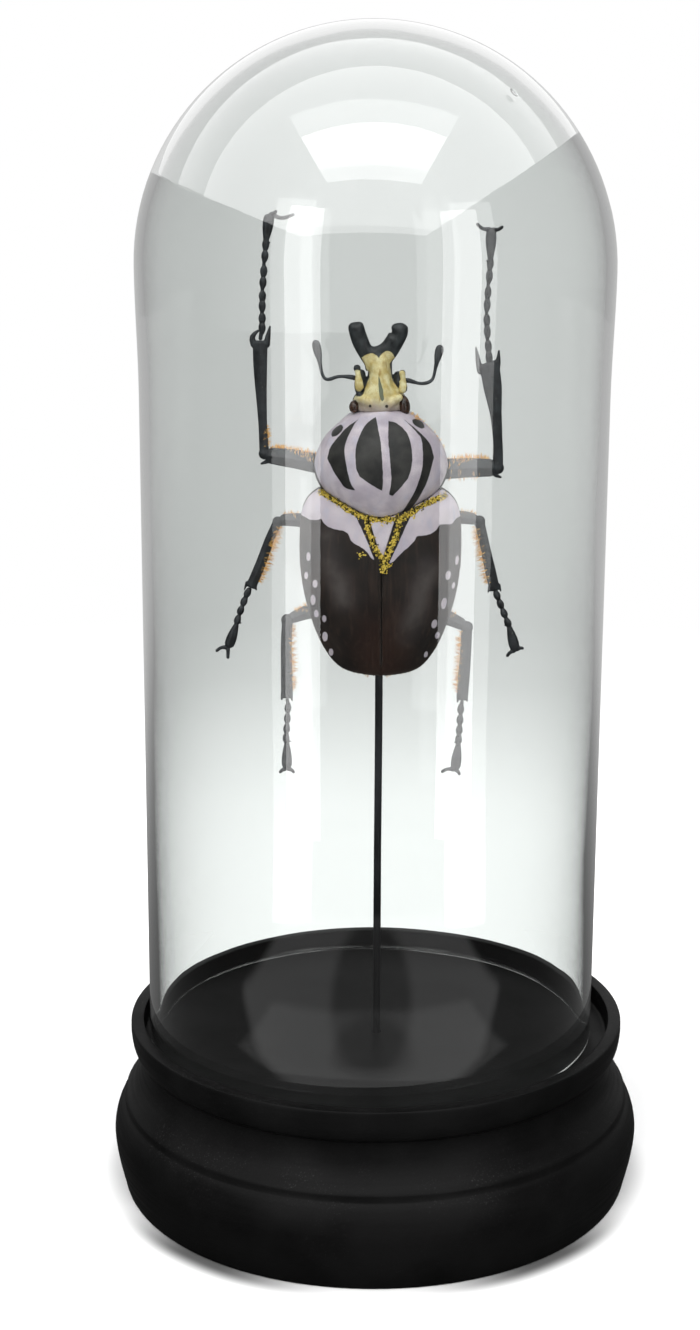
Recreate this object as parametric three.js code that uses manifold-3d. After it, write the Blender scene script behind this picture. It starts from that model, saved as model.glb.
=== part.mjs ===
// A horned flower beetle, dried and standing head up on a thin rod, under a
// round-topped glass dome on a turned black wooden base.
//
// Millimetres, +Z up. The origin is the middle of the base's underside. The
// beetle's back faces -Y, its belly +Y, and its left side is at -X.

import * as THREE from "three";
import { mergeVertices } from "three/addons/utils/BufferGeometryUtils.js";
import Module from "manifold-3d";

const wasm = await Module();
wasm.setup();

// ---- driving dimensions ----------------------------------------------------

const GAP = 0.3; // left between two pieces that touch

const DOME_RADIUS = 60; // outside of the glass wall
const DOME_BULGE = 0.7; // how much wider the glass is at its shoulder
const DOME_SHOULDER_Z = 243.8; // where the round top starts
const DOME_BULGE_START_Z = 212;
const GLASS_WALL = 2.5;
const DOME_SHIFT_X = -1.6; // the dome stands loosely in its recess

const RECESS_RADIUS = 63.1;
const RECESS_FLOOR_Z = 40.3;
const RIM_Z = 45.5;
const RIM_RADIUS = 66.6;
const NECK_RADIUS = 63.5;
const STEP_RADIUS = 68.4;
const TORUS_RADIUS = 71.4;
const FOOT_RADIUS = 68.4;

const ROD_RADIUS = 1;
const ROD_X = -0.15;
const ROD_Y = -3.5;
const ROD_FOOT_Z = 30;
const ROD_TOP_Z = 152;

const SIDE_Y = -2.5; // where the trunk is widest
const COVER_Y = -5; // the elytra lie behind this level, the thorax and abdomen before it
const TRUNK_REACH = 30; // further from the axis than any of the trunk
const SUTURE_X = 0.4; // the line where the two elytra meet
const WAIST_Z = 163; // where the hind thorax meets the abdomen
const SCUTELLUM_HALF_WIDTH = 3.4;
const SCUTELLUM_SHOULDER_Z = 182.5; // where its sides start to close in
const SCUTELLUM_TIP_Z = 171.8;
const HEAD_X = -0.6; // the head is turned a little to its left
const HORN_THICKNESS = 3;
const HORN_FRONT_Y = -7;

const LEG_Y = 4; // the plane that the outer leg parts lie in
const TIBIA_BEND = 10; // how far down the tibia its straight part starts
const TARSUS_RADIUS = 0.8;
const TARSUS_BEADS = 7;
const CLAW_RADIUS = 0.45;
const ANTENNA_RADIUS = 0.5;
const CLUB_RADIUS = 0.95; // the antenna's tip

const LATHE_STEPS = 40;
const BLUNT_END = 0.03; // the share of a limb's length that its rounded end takes

// ---- finishes --------------------------------------------------------------

const FINISHES = {
  blackWood: { color: 0x141312, roughness: 0.45, metalness: 0 },
  clearGlass: { color: 0xf4f8f8, roughness: 0.02, metalness: 0, transparent: true, opacity: 0.25 },
  blackRod: { color: 0x17181a, roughness: 0.5, metalness: 0.4 },
  creamHead: { color: 0xdccd8c, roughness: 0.5, metalness: 0 },
  lilacWhite: { color: 0xd7cdd7, roughness: 0.55, metalness: 0 },
  darkBrown: { color: 0x281c16, roughness: 0.5, metalness: 0 },
  blueBlack: { color: 0x2c3036, roughness: 0.4, metalness: 0 },
};

const object = new THREE.Group();

function addPiece(name, geometry, finish) {
  geometry.computeVertexNormals();
  const mesh = new THREE.Mesh(geometry, new THREE.MeshStandardMaterial(FINISHES[finish]));
  mesh.name = name;
  object.add(mesh);
}

// ---- solids: joining and cutting -------------------------------------------

function toSolid(geometry) {
  const bare = geometry.clone();
  bare.deleteAttribute("normal");
  bare.deleteAttribute("uv");
  const merged = mergeVertices(bare, 1e-4);
  return new wasm.Manifold(
    new wasm.Mesh({
      numProp: 3,
      vertProperties: new Float32Array(merged.attributes.position.array),
      triVerts: new Uint32Array(merged.index.array),
    }),
  );
}

function toGeometry(solid) {
  const mesh = solid.getMesh();
  const geometry = new THREE.BufferGeometry();
  geometry.setAttribute("position", new THREE.BufferAttribute(mesh.vertProperties, 3));
  geometry.setIndex(new THREE.BufferAttribute(mesh.triVerts, 1));
  return geometry;
}

// A box by its lowest and highest corners, for cutting.
function block(low, high) {
  const size = high.map((value, axis) => value - low[axis]);
  const geometry = new THREE.BoxGeometry(...size);
  geometry.translate(...low.map((value, axis) => value + size[axis] / 2));
  return toSolid(geometry);
}

// An upright cylinder.
function post(x, y, bottom, top, radius, sides) {
  const geometry = new THREE.CylinderGeometry(radius, radius, top - bottom, sides);
  geometry.rotateX(Math.PI / 2);
  geometry.translate(x, y, (bottom + top) / 2);
  return geometry;
}

// Turns [radius, height] points round the Z axis.
function turned(points) {
  const profile = points.map(([radius, height]) => new THREE.Vector2(radius, height));
  const geometry = new THREE.LatheGeometry(profile, LATHE_STEPS);
  geometry.rotateX(Math.PI / 2);
  return geometry;
}

// ---- grown shapes ----------------------------------------------------------

// Smooth values between equally spaced rows of numbers, from t = 0 to t = 1.
function smoothRows(rows) {
  const places = rows.map((row, index) => index / (rows.length - 1));
  const interpolant = new THREE.CubicInterpolant(places, rows.flat(), rows[0].length);
  return (t) => Array.from(interpolant.evaluate(t));
}

// A closed skin of rings. place(ring, turn) gives the point of a ring at an
// angle, and the first and last rings are single points.
function skin(sides, rings, place) {
  const geometry = new THREE.SphereGeometry(1, sides, rings);
  geometry.rotateX(Math.PI / 2);
  const position = geometry.attributes.position;
  for (let i = 0; i < position.count; i += 1) {
    const up = THREE.MathUtils.clamp(position.getZ(i), -1, 1);
    const turn = Math.atan2(position.getY(i), position.getX(i));
    const point = place(Math.round((Math.acos(up) / Math.PI) * rings), turn);
    position.setXYZ(i, point.x, point.y, point.z);
  }
  return toSolid(geometry);
}

// A body drawn through cross-sections, each [z, half width, back y, belly y],
// and widest at SIDE_Y. The first and last sections are points. grow makes it
// larger all round.
function body(sections, centreX, sides, rings, grow = 0) {
  const sectionAt = smoothRows(sections);
  return skin(sides, rings, (ring, turn) => {
    const [z, half, back, belly] = sectionAt(ring / rings);
    if (ring === 0) return new THREE.Vector3(centreX, SIDE_Y, z + grow);
    if (ring === rings) return new THREE.Vector3(centreX, SIDE_Y, z - grow);
    const reach = Math.sin(turn) < 0 ? SIDE_Y - back : belly - SIDE_Y;
    const x = centreX + (half + grow) * Math.cos(turn);
    const y = SIDE_Y + (reach + grow) * Math.sin(turn);
    return new THREE.Vector3(x, y, z);
  });
}

// A limb along a smooth path of [x, y, z] points, with blunt ends. radiusAt(t)
// is its radius, and flatten is its depth along Y as a share of its width.
function limb(points, radiusAt, { sides, rings, flatten = 1 }) {
  const path = new THREE.CatmullRomCurve3(points.map((p) => new THREE.Vector3(...p)));
  const backward = new THREE.Vector3(0, 1, 0);
  return skin(sides, rings, (ring, turn) => {
    if (ring === 0) return path.getPointAt(0);
    if (ring === rings) return path.getPointAt(1);
    const t = THREE.MathUtils.lerp(BLUNT_END, 1 - BLUNT_END, (ring - 1) / (rings - 2));
    const forward = path.getTangentAt(t);
    const across = backward.clone().cross(forward).normalize();
    const deep = across.clone().cross(forward);
    const radius = Number(radiusAt(t));
    const point = path.getPointAt(t);
    point.addScaledVector(across, radius * Math.cos(turn));
    return point.addScaledVector(deep, radius * flatten * Math.sin(turn));
  });
}

// The radius function of a limb, through equally spaced values.
function radiusThrough(radii) {
  return smoothRows(radii.map((radius) => [radius]));
}

// ---- base, dome and rod ----------------------------------------------------

function makeBase() {
  const profile = [
    [0, RECESS_FLOOR_Z],
    [RECESS_RADIUS, RECESS_FLOOR_Z],
    [RECESS_RADIUS, RIM_Z],
    [RIM_RADIUS - 0.3, RIM_Z],
    [RIM_RADIUS, RIM_Z - 0.3],
    [RIM_RADIUS, RIM_Z - 3],
    [RIM_RADIUS - 0.4, RIM_Z - 5.7],
    [RIM_RADIUS - 1.4, RIM_Z - 8.1],
    [NECK_RADIUS + 0.2, RIM_Z - 9],
    [NECK_RADIUS, RIM_Z - 10],
    [NECK_RADIUS, RIM_Z - 11.8],
    [NECK_RADIUS + 0.6, RIM_Z - 14.4],
    [NECK_RADIUS + 1.7, RIM_Z - 16.8],
    [NECK_RADIUS + 3.3, RIM_Z - 19],
    [STEP_RADIUS, RIM_Z - 20.8],
    [STEP_RADIUS + 0.1, RIM_Z - 22.6],
    [STEP_RADIUS + 1.2, RIM_Z - 24.1],
    [TORUS_RADIUS - 0.7, RIM_Z - 26.6],
    [TORUS_RADIUS - 0.1, RIM_Z - 29.3],
    [TORUS_RADIUS, RIM_Z - 32],
    [TORUS_RADIUS - 0.7, RIM_Z - 37],
    [FOOT_RADIUS + 0.8, RIM_Z - 43.5],
    [FOOT_RADIUS + 0.3, RIM_Z - 45.1],
    [FOOT_RADIUS, 0],
    [0, 0],
  ];
  const hole = post(ROD_X, ROD_Y, ROD_FOOT_Z - GAP, RIM_Z, ROD_RADIUS + GAP, 12);
  const wood = toSolid(turned(profile.reverse()));
  addPiece("base", toGeometry(wood.subtract(toSolid(hole))), "blackWood");
}

// The outline of one face of the glass, from its foot to the top of the axis.
function domeLine(inset, footZ) {
  const line = [];
  const bulgeSteps = 2;
  const archSteps = 8;
  line.push([DOME_RADIUS - inset, footZ]);
  for (let i = 0; i <= bulgeSteps; i += 1) {
    const t = i / bulgeSteps;
    const ease = t * t * (3 - 2 * t);
    const z = THREE.MathUtils.lerp(DOME_BULGE_START_Z, DOME_SHOULDER_Z, t);
    line.push([DOME_RADIUS + DOME_BULGE * ease - inset, z]);
  }
  for (let i = 1; i <= archSteps; i += 1) {
    const angle = ((i / archSteps) * Math.PI) / 2;
    const radius = (DOME_RADIUS + DOME_BULGE - inset) * Math.cos(angle);
    const z = DOME_SHOULDER_Z + (DOME_RADIUS - inset) * Math.sin(angle);
    line.push([i === archSteps ? 0 : radius, z]);
  }
  return line;
}

function makeDome() {
  const footZ = RECESS_FLOOR_Z + GAP;
  const outside = domeLine(0, footZ);
  const inside = domeLine(GLASS_WALL, footZ);
  const geometry = turned([...inside.reverse(), ...outside]);
  geometry.translate(DOME_SHIFT_X, 0, 0);
  addPiece("glass_dome", geometry, "clearGlass");
}

function makeRod() {
  addPiece("mount_rod", post(ROD_X, ROD_Y, ROD_FOOT_Z, ROD_TOP_Z, ROD_RADIUS, 12), "blackRod");
}

// ---- trunk: prothorax, hind thorax, abdomen, elytra and scutellum ----------

const PROTHORAX_SECTIONS = [
  [209.4, 0, -6, -6],
  [208, 8, -11, 3],
  [205, 11.4, -13.5, 6],
  [201.5, 14.8, -16, 8],
  [197, 16.8, -17.6, 9],
  [192.5, 16.9, -18.2, 9],
  [188.5, 14.9, -17.8, 8],
  [185, 10.6, -16.4, 6],
  [182.6, 6.2, -14.4, 4],
  [181.2, 0, -8, -8],
];

const HIND_SECTIONS = [
  [191, 0, -4, -4],
  [189.4, 15, -10, 5],
  [185, 19.8, -13.6, 9],
  [178, 20.8, -16, 10.5],
  [170, 20.7, -17, 11],
  [162, 19.6, -16.8, 10],
  [154.5, 17.6, -15, 8],
  [147.5, 14.9, -11.6, 5],
  [142, 11, -8, 1.5],
  [139.4, 0, -4, -4],
];

const prothoraxBody = body(PROTHORAX_SECTIONS, 0, 20, 12);
const prothoraxClear = body(PROTHORAX_SECTIONS, 0, 20, 12, GAP);
const hindBody = body(HIND_SECTIONS, 0, 24, 14).subtract(prothoraxClear);
const trunkClear = body(HIND_SECTIONS, 0, 24, 14, GAP).add(prothoraxClear);

function makeProthorax() {
  addPiece("prothorax", toGeometry(prothoraxBody), "lilacWhite");
}

// An outline in X and Z, given depth from frontY towards the belly.
function plate(points, frontY, depth) {
  const outline = new THREE.Shape(points.map(([x, z]) => new THREE.Vector2(x, z)));
  const geometry = new THREE.ExtrudeGeometry(outline, { depth, bevelEnabled: false });
  geometry.rotateX(Math.PI / 2);
  geometry.translate(0, frontY + depth, 0);
  return toSolid(geometry);
}

// The scutellum's place: a shield that narrows down to a tip on the suture.
function scutellumPlate(grow = 0) {
  const half = SCUTELLUM_HALF_WIDTH + grow;
  const top = HIND_SECTIONS[0][0];
  const outline = [
    [SUTURE_X - half, top],
    [SUTURE_X - half, SCUTELLUM_SHOULDER_Z],
    [SUTURE_X, SCUTELLUM_TIP_Z - 2 * grow],
    [SUTURE_X + half, SCUTELLUM_SHOULDER_Z],
    [SUTURE_X + half, top],
  ];
  return plate(outline, -TRUNK_REACH, TRUNK_REACH);
}

function makeHindBody() {
  const wide = TRUNK_REACH;
  const low = ROD_FOOT_Z;
  const high = DOME_SHOULDER_Z;
  const backHalf = block([-wide, -wide, low], [wide, COVER_Y - GAP, high]);
  const bellyHalf = block([-wide, COVER_Y, low], [wide, wide, high]);
  const shield = hindBody.intersect(backHalf);
  const scutellum = shield.intersect(scutellumPlate());
  const covers = shield.subtract(scutellumPlate(GAP));
  const leftSide = block([-wide, -wide, low], [SUTURE_X - GAP / 2, wide, high]);
  const rightSide = block([SUTURE_X + GAP / 2, -wide, low], [wide, wide, high]);
  addPiece("scutellum", toGeometry(scutellum), "lilacWhite");
  addPiece("elytron_left", toGeometry(covers.intersect(leftSide)), "darkBrown");
  addPiece("elytron_right", toGeometry(covers.intersect(rightSide)), "darkBrown");

  const underside = hindBody.intersect(bellyHalf);
  const front = block([-wide, -wide, WAIST_Z + GAP / 2], [wide, wide, high]);
  const rear = block([-wide, -wide, low], [wide, wide, WAIST_Z - GAP / 2]);
  const rodHole = toSolid(post(ROD_X, ROD_Y, low, ROD_TOP_Z + GAP, ROD_RADIUS + GAP, 12));
  addPiece("hind_thorax", toGeometry(underside.intersect(front)), "blueBlack");
  addPiece("abdomen", toGeometry(underside.intersect(rear).subtract(rodHole)), "blueBlack");
}

// ---- head with its forked horn, and the antennae ---------------------------

const HEAD_SECTIONS = [
  [223.4, 0, -6, -6],
  [222.6, 3.4, -8, -3],
  [219.5, 5, -9.2, -1],
  [215.5, 6.6, -9.8, 1],
  [211, 7.2, -10.4, 2.5],
  [207.5, 6, -10, 2.5],
  [205.5, 0, -5, -5],
];

// The two blunt prongs of the horn and the stem between them.
const HORN_OUTLINE = [
  [-4.6, 219.5],
  [-5, 221.4],
  [-7.5, 224.8],
  [-8.8, 229.6],
  [-6.6, 230.8],
  [-4.7, 230],
  [-3.2, 225.6],
  [-1.2, 224.6],
  [0.8, 226],
  [1.9, 229.8],
  [3.9, 230.8],
  [6.1, 229.2],
  [4.9, 225],
  [2.5, 221.4],
  [2.3, 219.5],
];

function makeHead() {
  const skull = body(HEAD_SECTIONS, HEAD_X, 16, 10);
  const horn = plate(HORN_OUTLINE, HORN_FRONT_Y, HORN_THICKNESS);
  const head = skull.add(horn).subtract(prothoraxClear);
  addPiece("head", toGeometry(head), "creamHead");
}

const ANTENNAE = {
  left: [
    [-7.9, -5, 217],
    [-11, -4.6, 217.1],
    [-13.9, -4, 216.3],
    [-15.2, -3.6, 217.6],
    [-16, -3.4, 221.4],
    [-17, -3, 226],
  ],
  right: [
    [6.9, -5, 216.2],
    [10, -4.6, 215.5],
    [12.6, -4, 216.4],
    [13.5, -3.6, 219.5],
    [14, -3.4, 222],
    [14.7, -3, 225.2],
  ],
};

function makeAntennae() {
  const thin = ANTENNA_RADIUS;
  const radiusAt = radiusThrough([thin, thin, thin, thin, CLUB_RADIUS, CLUB_RADIUS]);
  for (const [side, points] of Object.entries(ANTENNAE)) {
    const antenna = limb(points, radiusAt, { sides: 6, rings: 12 });
    addPiece(`antenna_${side}`, toGeometry(antenna), "blueBlack");
  }
}

// ---- legs ------------------------------------------------------------------

// Each leg runs coxa, knee, ankle, claw joint, with its two claw tips, as
// [x, z] in the leg plane; the coxa sits on the belly, further back.
const LEGS = {
  front_left: {
    coxa: [-5, 192],
    hip: [-15, 193.6],
    knee: [-30.8, 196.8],
    ankle: [-31.5, 225.6],
    tarsusEnd: [-30, 249],
    foot: [-28.8, 256.4],
    claws: [[-22.6, 257.1], [-26.2, 258.4]],
    femurRadius: 2.7,
    tibiaRadii: [1.5, 1.7, 2.2],
  },
  front_right: {
    coxa: [5, 191],
    hip: [15, 192.4],
    knee: [30.4, 193],
    ankle: [27.9, 222.4],
    tarsusEnd: [27.2, 248.4],
    foot: [27.4, 254],
    claws: [[23.7, 255.4], [30.6, 254.9]],
    femurRadius: 2.7,
    tibiaRadii: [1.6, 1.9, 3],
  },
  middle_left: {
    coxa: [-5, 180],
    hip: [-16, 178.4],
    knee: [-26.8, 179.6],
    ankle: [-34.2, 161.2],
    tarsusEnd: [-38.1, 151],
    foot: [-40.3, 145.2],
    claws: [[-43.7, 143.7], [-40.4, 142]],
    femurRadius: 2.2,
    tibiaRadii: [1.4, 1.5, 1.6],
  },
  middle_right: {
    coxa: [5, 180],
    hip: [16, 180],
    knee: [25.6, 179.9],
    ankle: [30.2, 161],
    tarsusEnd: [34.2, 151.2],
    foot: [36.2, 145],
    claws: [[38.5, 145.3], [34.1, 143.1]],
    femurRadius: 2.2,
    tibiaRadii: [1.4, 1.5, 1.6],
  },
  hind_left: {
    coxa: [-5, 166],
    hip: [-14, 155.8],
    knee: [-24.3, 153.3],
    ankle: [-24.2, 131.6],
    tarsusEnd: [-24.8, 119.4],
    foot: [-24.8, 112.4],
    claws: [[-26.9, 110.8], [-22.9, 110.8]],
    femurRadius: 2.1,
    tibiaRadii: [1.5, 1.7, 1.8],
  },
  hind_right: {
    coxa: [5, 166],
    hip: [13, 155],
    knee: [23.1, 151.8],
    ankle: [22.1, 131.4],
    tarsusEnd: [21.5, 119.4],
    foot: [20.6, 112],
    claws: [[17, 111.3], [22.3, 110.3]],
    femurRadius: 2.1,
    tibiaRadii: [1.5, 1.7, 1.8],
  },
};

const COXA_Y = 12;
const HIP_Y = 7;

function inPlane([x, z], y = LEG_Y) {
  return [x, y, z];
}

// The point a little way from one joint towards the next.
function beyond(from, to, distance) {
  const start = new THREE.Vector2(...from);
  const direction = new THREE.Vector2(...to).sub(start).normalize();
  return start.addScaledVector(direction, distance).toArray();
}

function femurSolid(leg, grow = 0) {
  const path = [inPlane(leg.coxa, COXA_Y), inPlane(leg.hip, HIP_Y), inPlane(leg.knee)];
  const thick = leg.femurRadius;
  const radiusAt = radiusThrough([0.8 * thick + grow, thick + grow, 0.85 * thick + grow]);
  return limb(path, radiusAt, { sides: 10, rings: 8, flatten: 0.85 });
}

function tibiaSolid(leg, grow = 0) {
  const top = beyond(leg.knee, leg.ankle, 0.4 * leg.femurRadius);
  const middle = beyond(leg.knee, leg.ankle, TIBIA_BEND);
  const path = [inPlane(top), inPlane(middle), inPlane(leg.ankle)];
  const radiusAt = radiusThrough(leg.tibiaRadii.map((radius) => radius + grow));
  return limb(path, radiusAt, { sides: 8, rings: 8, flatten: 0.7 });
}

function clawSolid(leg, tip) {
  const root = beyond(leg.foot, leg.tarsusEnd, 1);
  const bend = beyond(leg.foot, tip, 1.2);
  const path = [inPlane(root), inPlane(bend), inPlane(tip)];
  const radiusAt = radiusThrough([CLAW_RADIUS, CLAW_RADIUS, 0.5 * CLAW_RADIUS]);
  return limb(path, radiusAt, { sides: 5, rings: 4 });
}

// A row of beads that ends in a straight claw joint and two claws.
function tarsusSolid(leg) {
  const top = beyond(leg.ankle, leg.tarsusEnd, GAP);
  const path = [inPlane(top), inPlane(leg.tarsusEnd), inPlane(leg.foot)];
  const radiusAt = (t) => TARSUS_RADIUS * (1 + 0.2 * Math.cos(2 * Math.PI * TARSUS_BEADS * t));
  let tarsus = limb(path, radiusAt, { sides: 6, rings: 2 * TARSUS_BEADS + 2 });
  for (const tip of leg.claws) {
    tarsus = tarsus.add(clawSolid(leg, tip));
  }
  return tarsus;
}

function makeLeg(name, leg) {
  const femur = femurSolid(leg).subtract(trunkClear);
  const tibia = tibiaSolid(leg).subtract(femurSolid(leg, GAP));
  const tarsus = tarsusSolid(leg).subtract(tibiaSolid(leg, GAP));
  addPiece(`femur_${name}`, toGeometry(femur), "blueBlack");
  addPiece(`tibia_${name}`, toGeometry(tibia), "blueBlack");
  addPiece(`tarsus_${name}`, toGeometry(tarsus), "blueBlack");
}

// ---- the whole object ------------------------------------------------------

makeBase();
makeDome();
makeRod();
makeProthorax();
makeHindBody();
makeHead();
makeAntennae();
for (const [name, leg] of Object.entries(LEGS)) {
  makeLeg(name, leg);
}

export default object;
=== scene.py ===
import math
import random

import bpy
import numpy as np
from mathutils import Matrix, Vector
from mathutils.bvhtree import BVHTree


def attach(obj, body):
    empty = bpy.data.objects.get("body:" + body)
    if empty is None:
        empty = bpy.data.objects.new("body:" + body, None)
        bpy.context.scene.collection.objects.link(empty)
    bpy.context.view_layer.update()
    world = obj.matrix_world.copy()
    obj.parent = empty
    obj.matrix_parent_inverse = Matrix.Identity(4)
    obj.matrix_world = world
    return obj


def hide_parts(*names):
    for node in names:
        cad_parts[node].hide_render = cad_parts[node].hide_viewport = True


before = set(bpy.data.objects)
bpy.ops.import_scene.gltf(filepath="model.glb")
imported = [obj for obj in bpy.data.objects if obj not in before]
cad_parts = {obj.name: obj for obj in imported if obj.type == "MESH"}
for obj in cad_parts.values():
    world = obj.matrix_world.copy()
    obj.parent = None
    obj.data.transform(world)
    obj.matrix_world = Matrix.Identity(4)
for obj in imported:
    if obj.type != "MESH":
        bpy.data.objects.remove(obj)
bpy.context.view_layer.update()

# A horned flower beetle, dried and standing head up on a thin rod, under a clear glass dome on a
# black turned base. Sizes and places are in mm, unless a comment says otherwise, and MM turns them
# into metres. +Z is up, the beetle's back faces -Y, and its left side is at -X.

MM = 0.001
CHANCE = random.Random(7)

# ---- driving sizes ---------------------------------------------------------

GAP = 0.3  # between pieces that touch
SIDE_Y = -2.5  # the widest line of the trunk, between back and belly
COVER_Y = -5  # where the wing covers meet the underside
SUTURE_X = 0.4  # the seam between the wing covers
WAIST_Z = 163  # where the hind thorax meets the abdomen
LEG_Y = 4  # the plane that the legs lie in
HIP_Y = 7
COXA_Y = 12
HEAD_X = -0.6

ROD = dict(x=-0.15, y=-3.5, radius=1, foot=30, top=152)

DOME = dict(
    shift=-1.6, radius=60, bulge=0.7, bulge_start=212, shoulder=243.8, wall=2.5, foot=40.6
)

# ---- making shapes ---------------------------------------------------------


def mm(*place):
    """A place or a step in mm, as a vector in metres."""
    return Vector(place) * MM


def choose(*pieces):
    """Selects these pieces and no others, the first one active."""
    bpy.ops.object.select_all(action="DESELECT")
    for piece in pieces:
        piece.select_set(True)
        bpy.context.view_layer.objects.active = pieces[0]


def settle(name):
    """Names the new piece and puts its place, turn and size into its mesh."""
    piece = bpy.context.object
    piece.name = piece.data.name = name
    bpy.ops.object.transform_apply(location=True, rotation=True, scale=True)
    return piece


def open_mesh(piece, kind="FACE"):
    """Starts editing the piece, with all of it selected."""
    choose(piece)
    bpy.ops.object.mode_set(mode="EDIT")
    bpy.ops.mesh.select_mode(type=kind)
    bpy.ops.mesh.select_all(action="SELECT")


def close_mesh(weld=0.0):
    """Ends editing, with the faces turned outwards, after welding points nearer than this."""
    bpy.ops.mesh.select_all(action="SELECT")
    if weld:
        bpy.ops.mesh.remove_doubles(threshold=weld * MM)
    bpy.ops.mesh.normals_make_consistent(inside=False)
    bpy.ops.object.mode_set(mode="OBJECT")


def push(step):
    """Extrudes what is selected."""
    bpy.ops.mesh.extrude_region_move(TRANSFORM_OT_translate={"value": step})


def modify(piece, kind, **settings):
    """Adds a modifier and applies it."""
    choose(piece)
    modifier = piece.modifiers.new(kind.title(), kind)
    for setting, value in settings.items():
        setattr(modifier, setting, value)
    bpy.ops.object.modifier_apply(modifier=modifier.name)
    return piece


def join(name, pieces):
    choose(*pieces)
    bpy.ops.object.join()
    return settle(name)


def copy_of(piece, name):
    choose(piece)
    bpy.ops.object.duplicate()
    return settle(name)


def fuse(piece, voxel, rounds):
    """Grows overlapping parts into one skin with soft edges."""
    modify(piece, "REMESH", mode="VOXEL", voxel_size=voxel * MM, use_smooth_shade=True)
    return modify(piece, "SMOOTH", factor=0.5, iterations=rounds)


def combine(piece, tool, operation):
    modify(piece, "BOOLEAN", operation=operation, solver="EXACT", object=tool)
    bpy.data.objects.remove(tool)
    return piece


def slice_off(piece, place, normal):
    """Cuts the piece at a plane, takes away the side that the normal points to, and closes the cut."""
    open_mesh(piece)
    bpy.ops.mesh.bisect(plane_co=mm(*place), plane_no=normal, use_fill=True, clear_outer=True)
    close_mesh()
    return piece


def points_of(piece):
    """The mesh's points in mm, one row each."""
    flat = np.empty(len(piece.data.vertices) * 3)
    piece.data.vertices.foreach_get("co", flat)
    return flat.reshape(-1, 3) / MM


def set_points(piece, points):
    piece.data.vertices.foreach_set("co", (points * MM).ravel())
    piece.data.update()


def relief(piece, height):
    """Sculpts: each point moves out along its normal by height(points, normals)."""
    points = points_of(piece)
    facing = np.empty(points.size)
    piece.data.vertex_normals.foreach_get("vector", facing)
    facing = facing.reshape(-1, 3)
    set_points(piece, points + facing * height(points, facing)[:, None])
    return piece


def store(piece, name, values):
    """Keeps a value for each point, for the materials to read."""
    layer = piece.data.attributes.new(name, "FLOAT", "POINT")
    layer.data.foreach_set("value", np.asarray(values, np.float32))


def curve(points, steps):
    """Points along a smooth curve through the given ones, so many steps to a span."""
    given = np.array(points, float)
    given = np.vstack([2 * given[0] - given[1], given, 2 * given[-1] - given[-2]])
    made = []
    for k in range(1, len(given) - 2):
        a, b, c, d = given[k - 1 : k + 3]
        for t in np.arange(steps) / steps:
            rise = (2 * a - 5 * b + 4 * c - d) * t**2 + (3 * b - a - 3 * c + d) * t**3
            made.append(0.5 * (2 * b + (c - a) * t + rise))
    made.append(given[-2])
    return np.array(made)


def bump_at(distance, width):
    """A smooth hill: 1 at no distance, near 0 past the width."""
    return np.exp(-((distance / width) ** 2))


def trace(name, points):
    """One vertex, extruded from point to point, left open in edit mode with all of it selected."""
    choose()
    bpy.ops.mesh.primitive_plane_add(size=MM, location=mm(*points[0]))
    piece = settle(name)
    open_mesh(piece, "VERT")
    bpy.ops.mesh.merge(type="CENTER")
    for here, there in zip(points, points[1:]):
        step = (Vector(there) - Vector(here)) * MM
        bpy.ops.mesh.extrude_vertices_move(TRANSFORM_OT_translate={"value": step})
    bpy.ops.mesh.select_all(action="SELECT")
    return piece


def lathe(name, profile, steps, shift=0):
    """Turns a profile of (radius, height) points round an upright axis."""
    piece = trace(name, [(shift + r, 0, z) for r, z in profile])
    bpy.ops.mesh.spin(steps=steps, angle=2 * math.pi, center=mm(shift, 0, 0), axis=(0, 0, 1))
    close_mesh(weld=0.002)
    return piece


def plate(name, outline, near_y, far_y):
    """An outline in X and Z, given depth along Y."""
    piece = trace(name, [(x, near_y, z) for x, z in outline])
    bpy.ops.mesh.edge_face_add()
    push(mm(0, far_y - near_y, 0))
    close_mesh()
    return piece


def disc(name, sides, radius, place=(0, 0, 0)):
    """A flat disc to grow a shape from, left open in edit mode with all of it selected."""
    choose()
    bpy.ops.mesh.primitive_circle_add(
        vertices=sides, radius=radius * MM, fill_type="NGON", location=mm(*place)
    )
    piece = settle(name)
    open_mesh(piece)
    return piece


CAPS = ((0.02, 0.2), (0.13, 0.5), (0.43, 0.82))  # a limb's round end: how far in, and how wide


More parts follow.
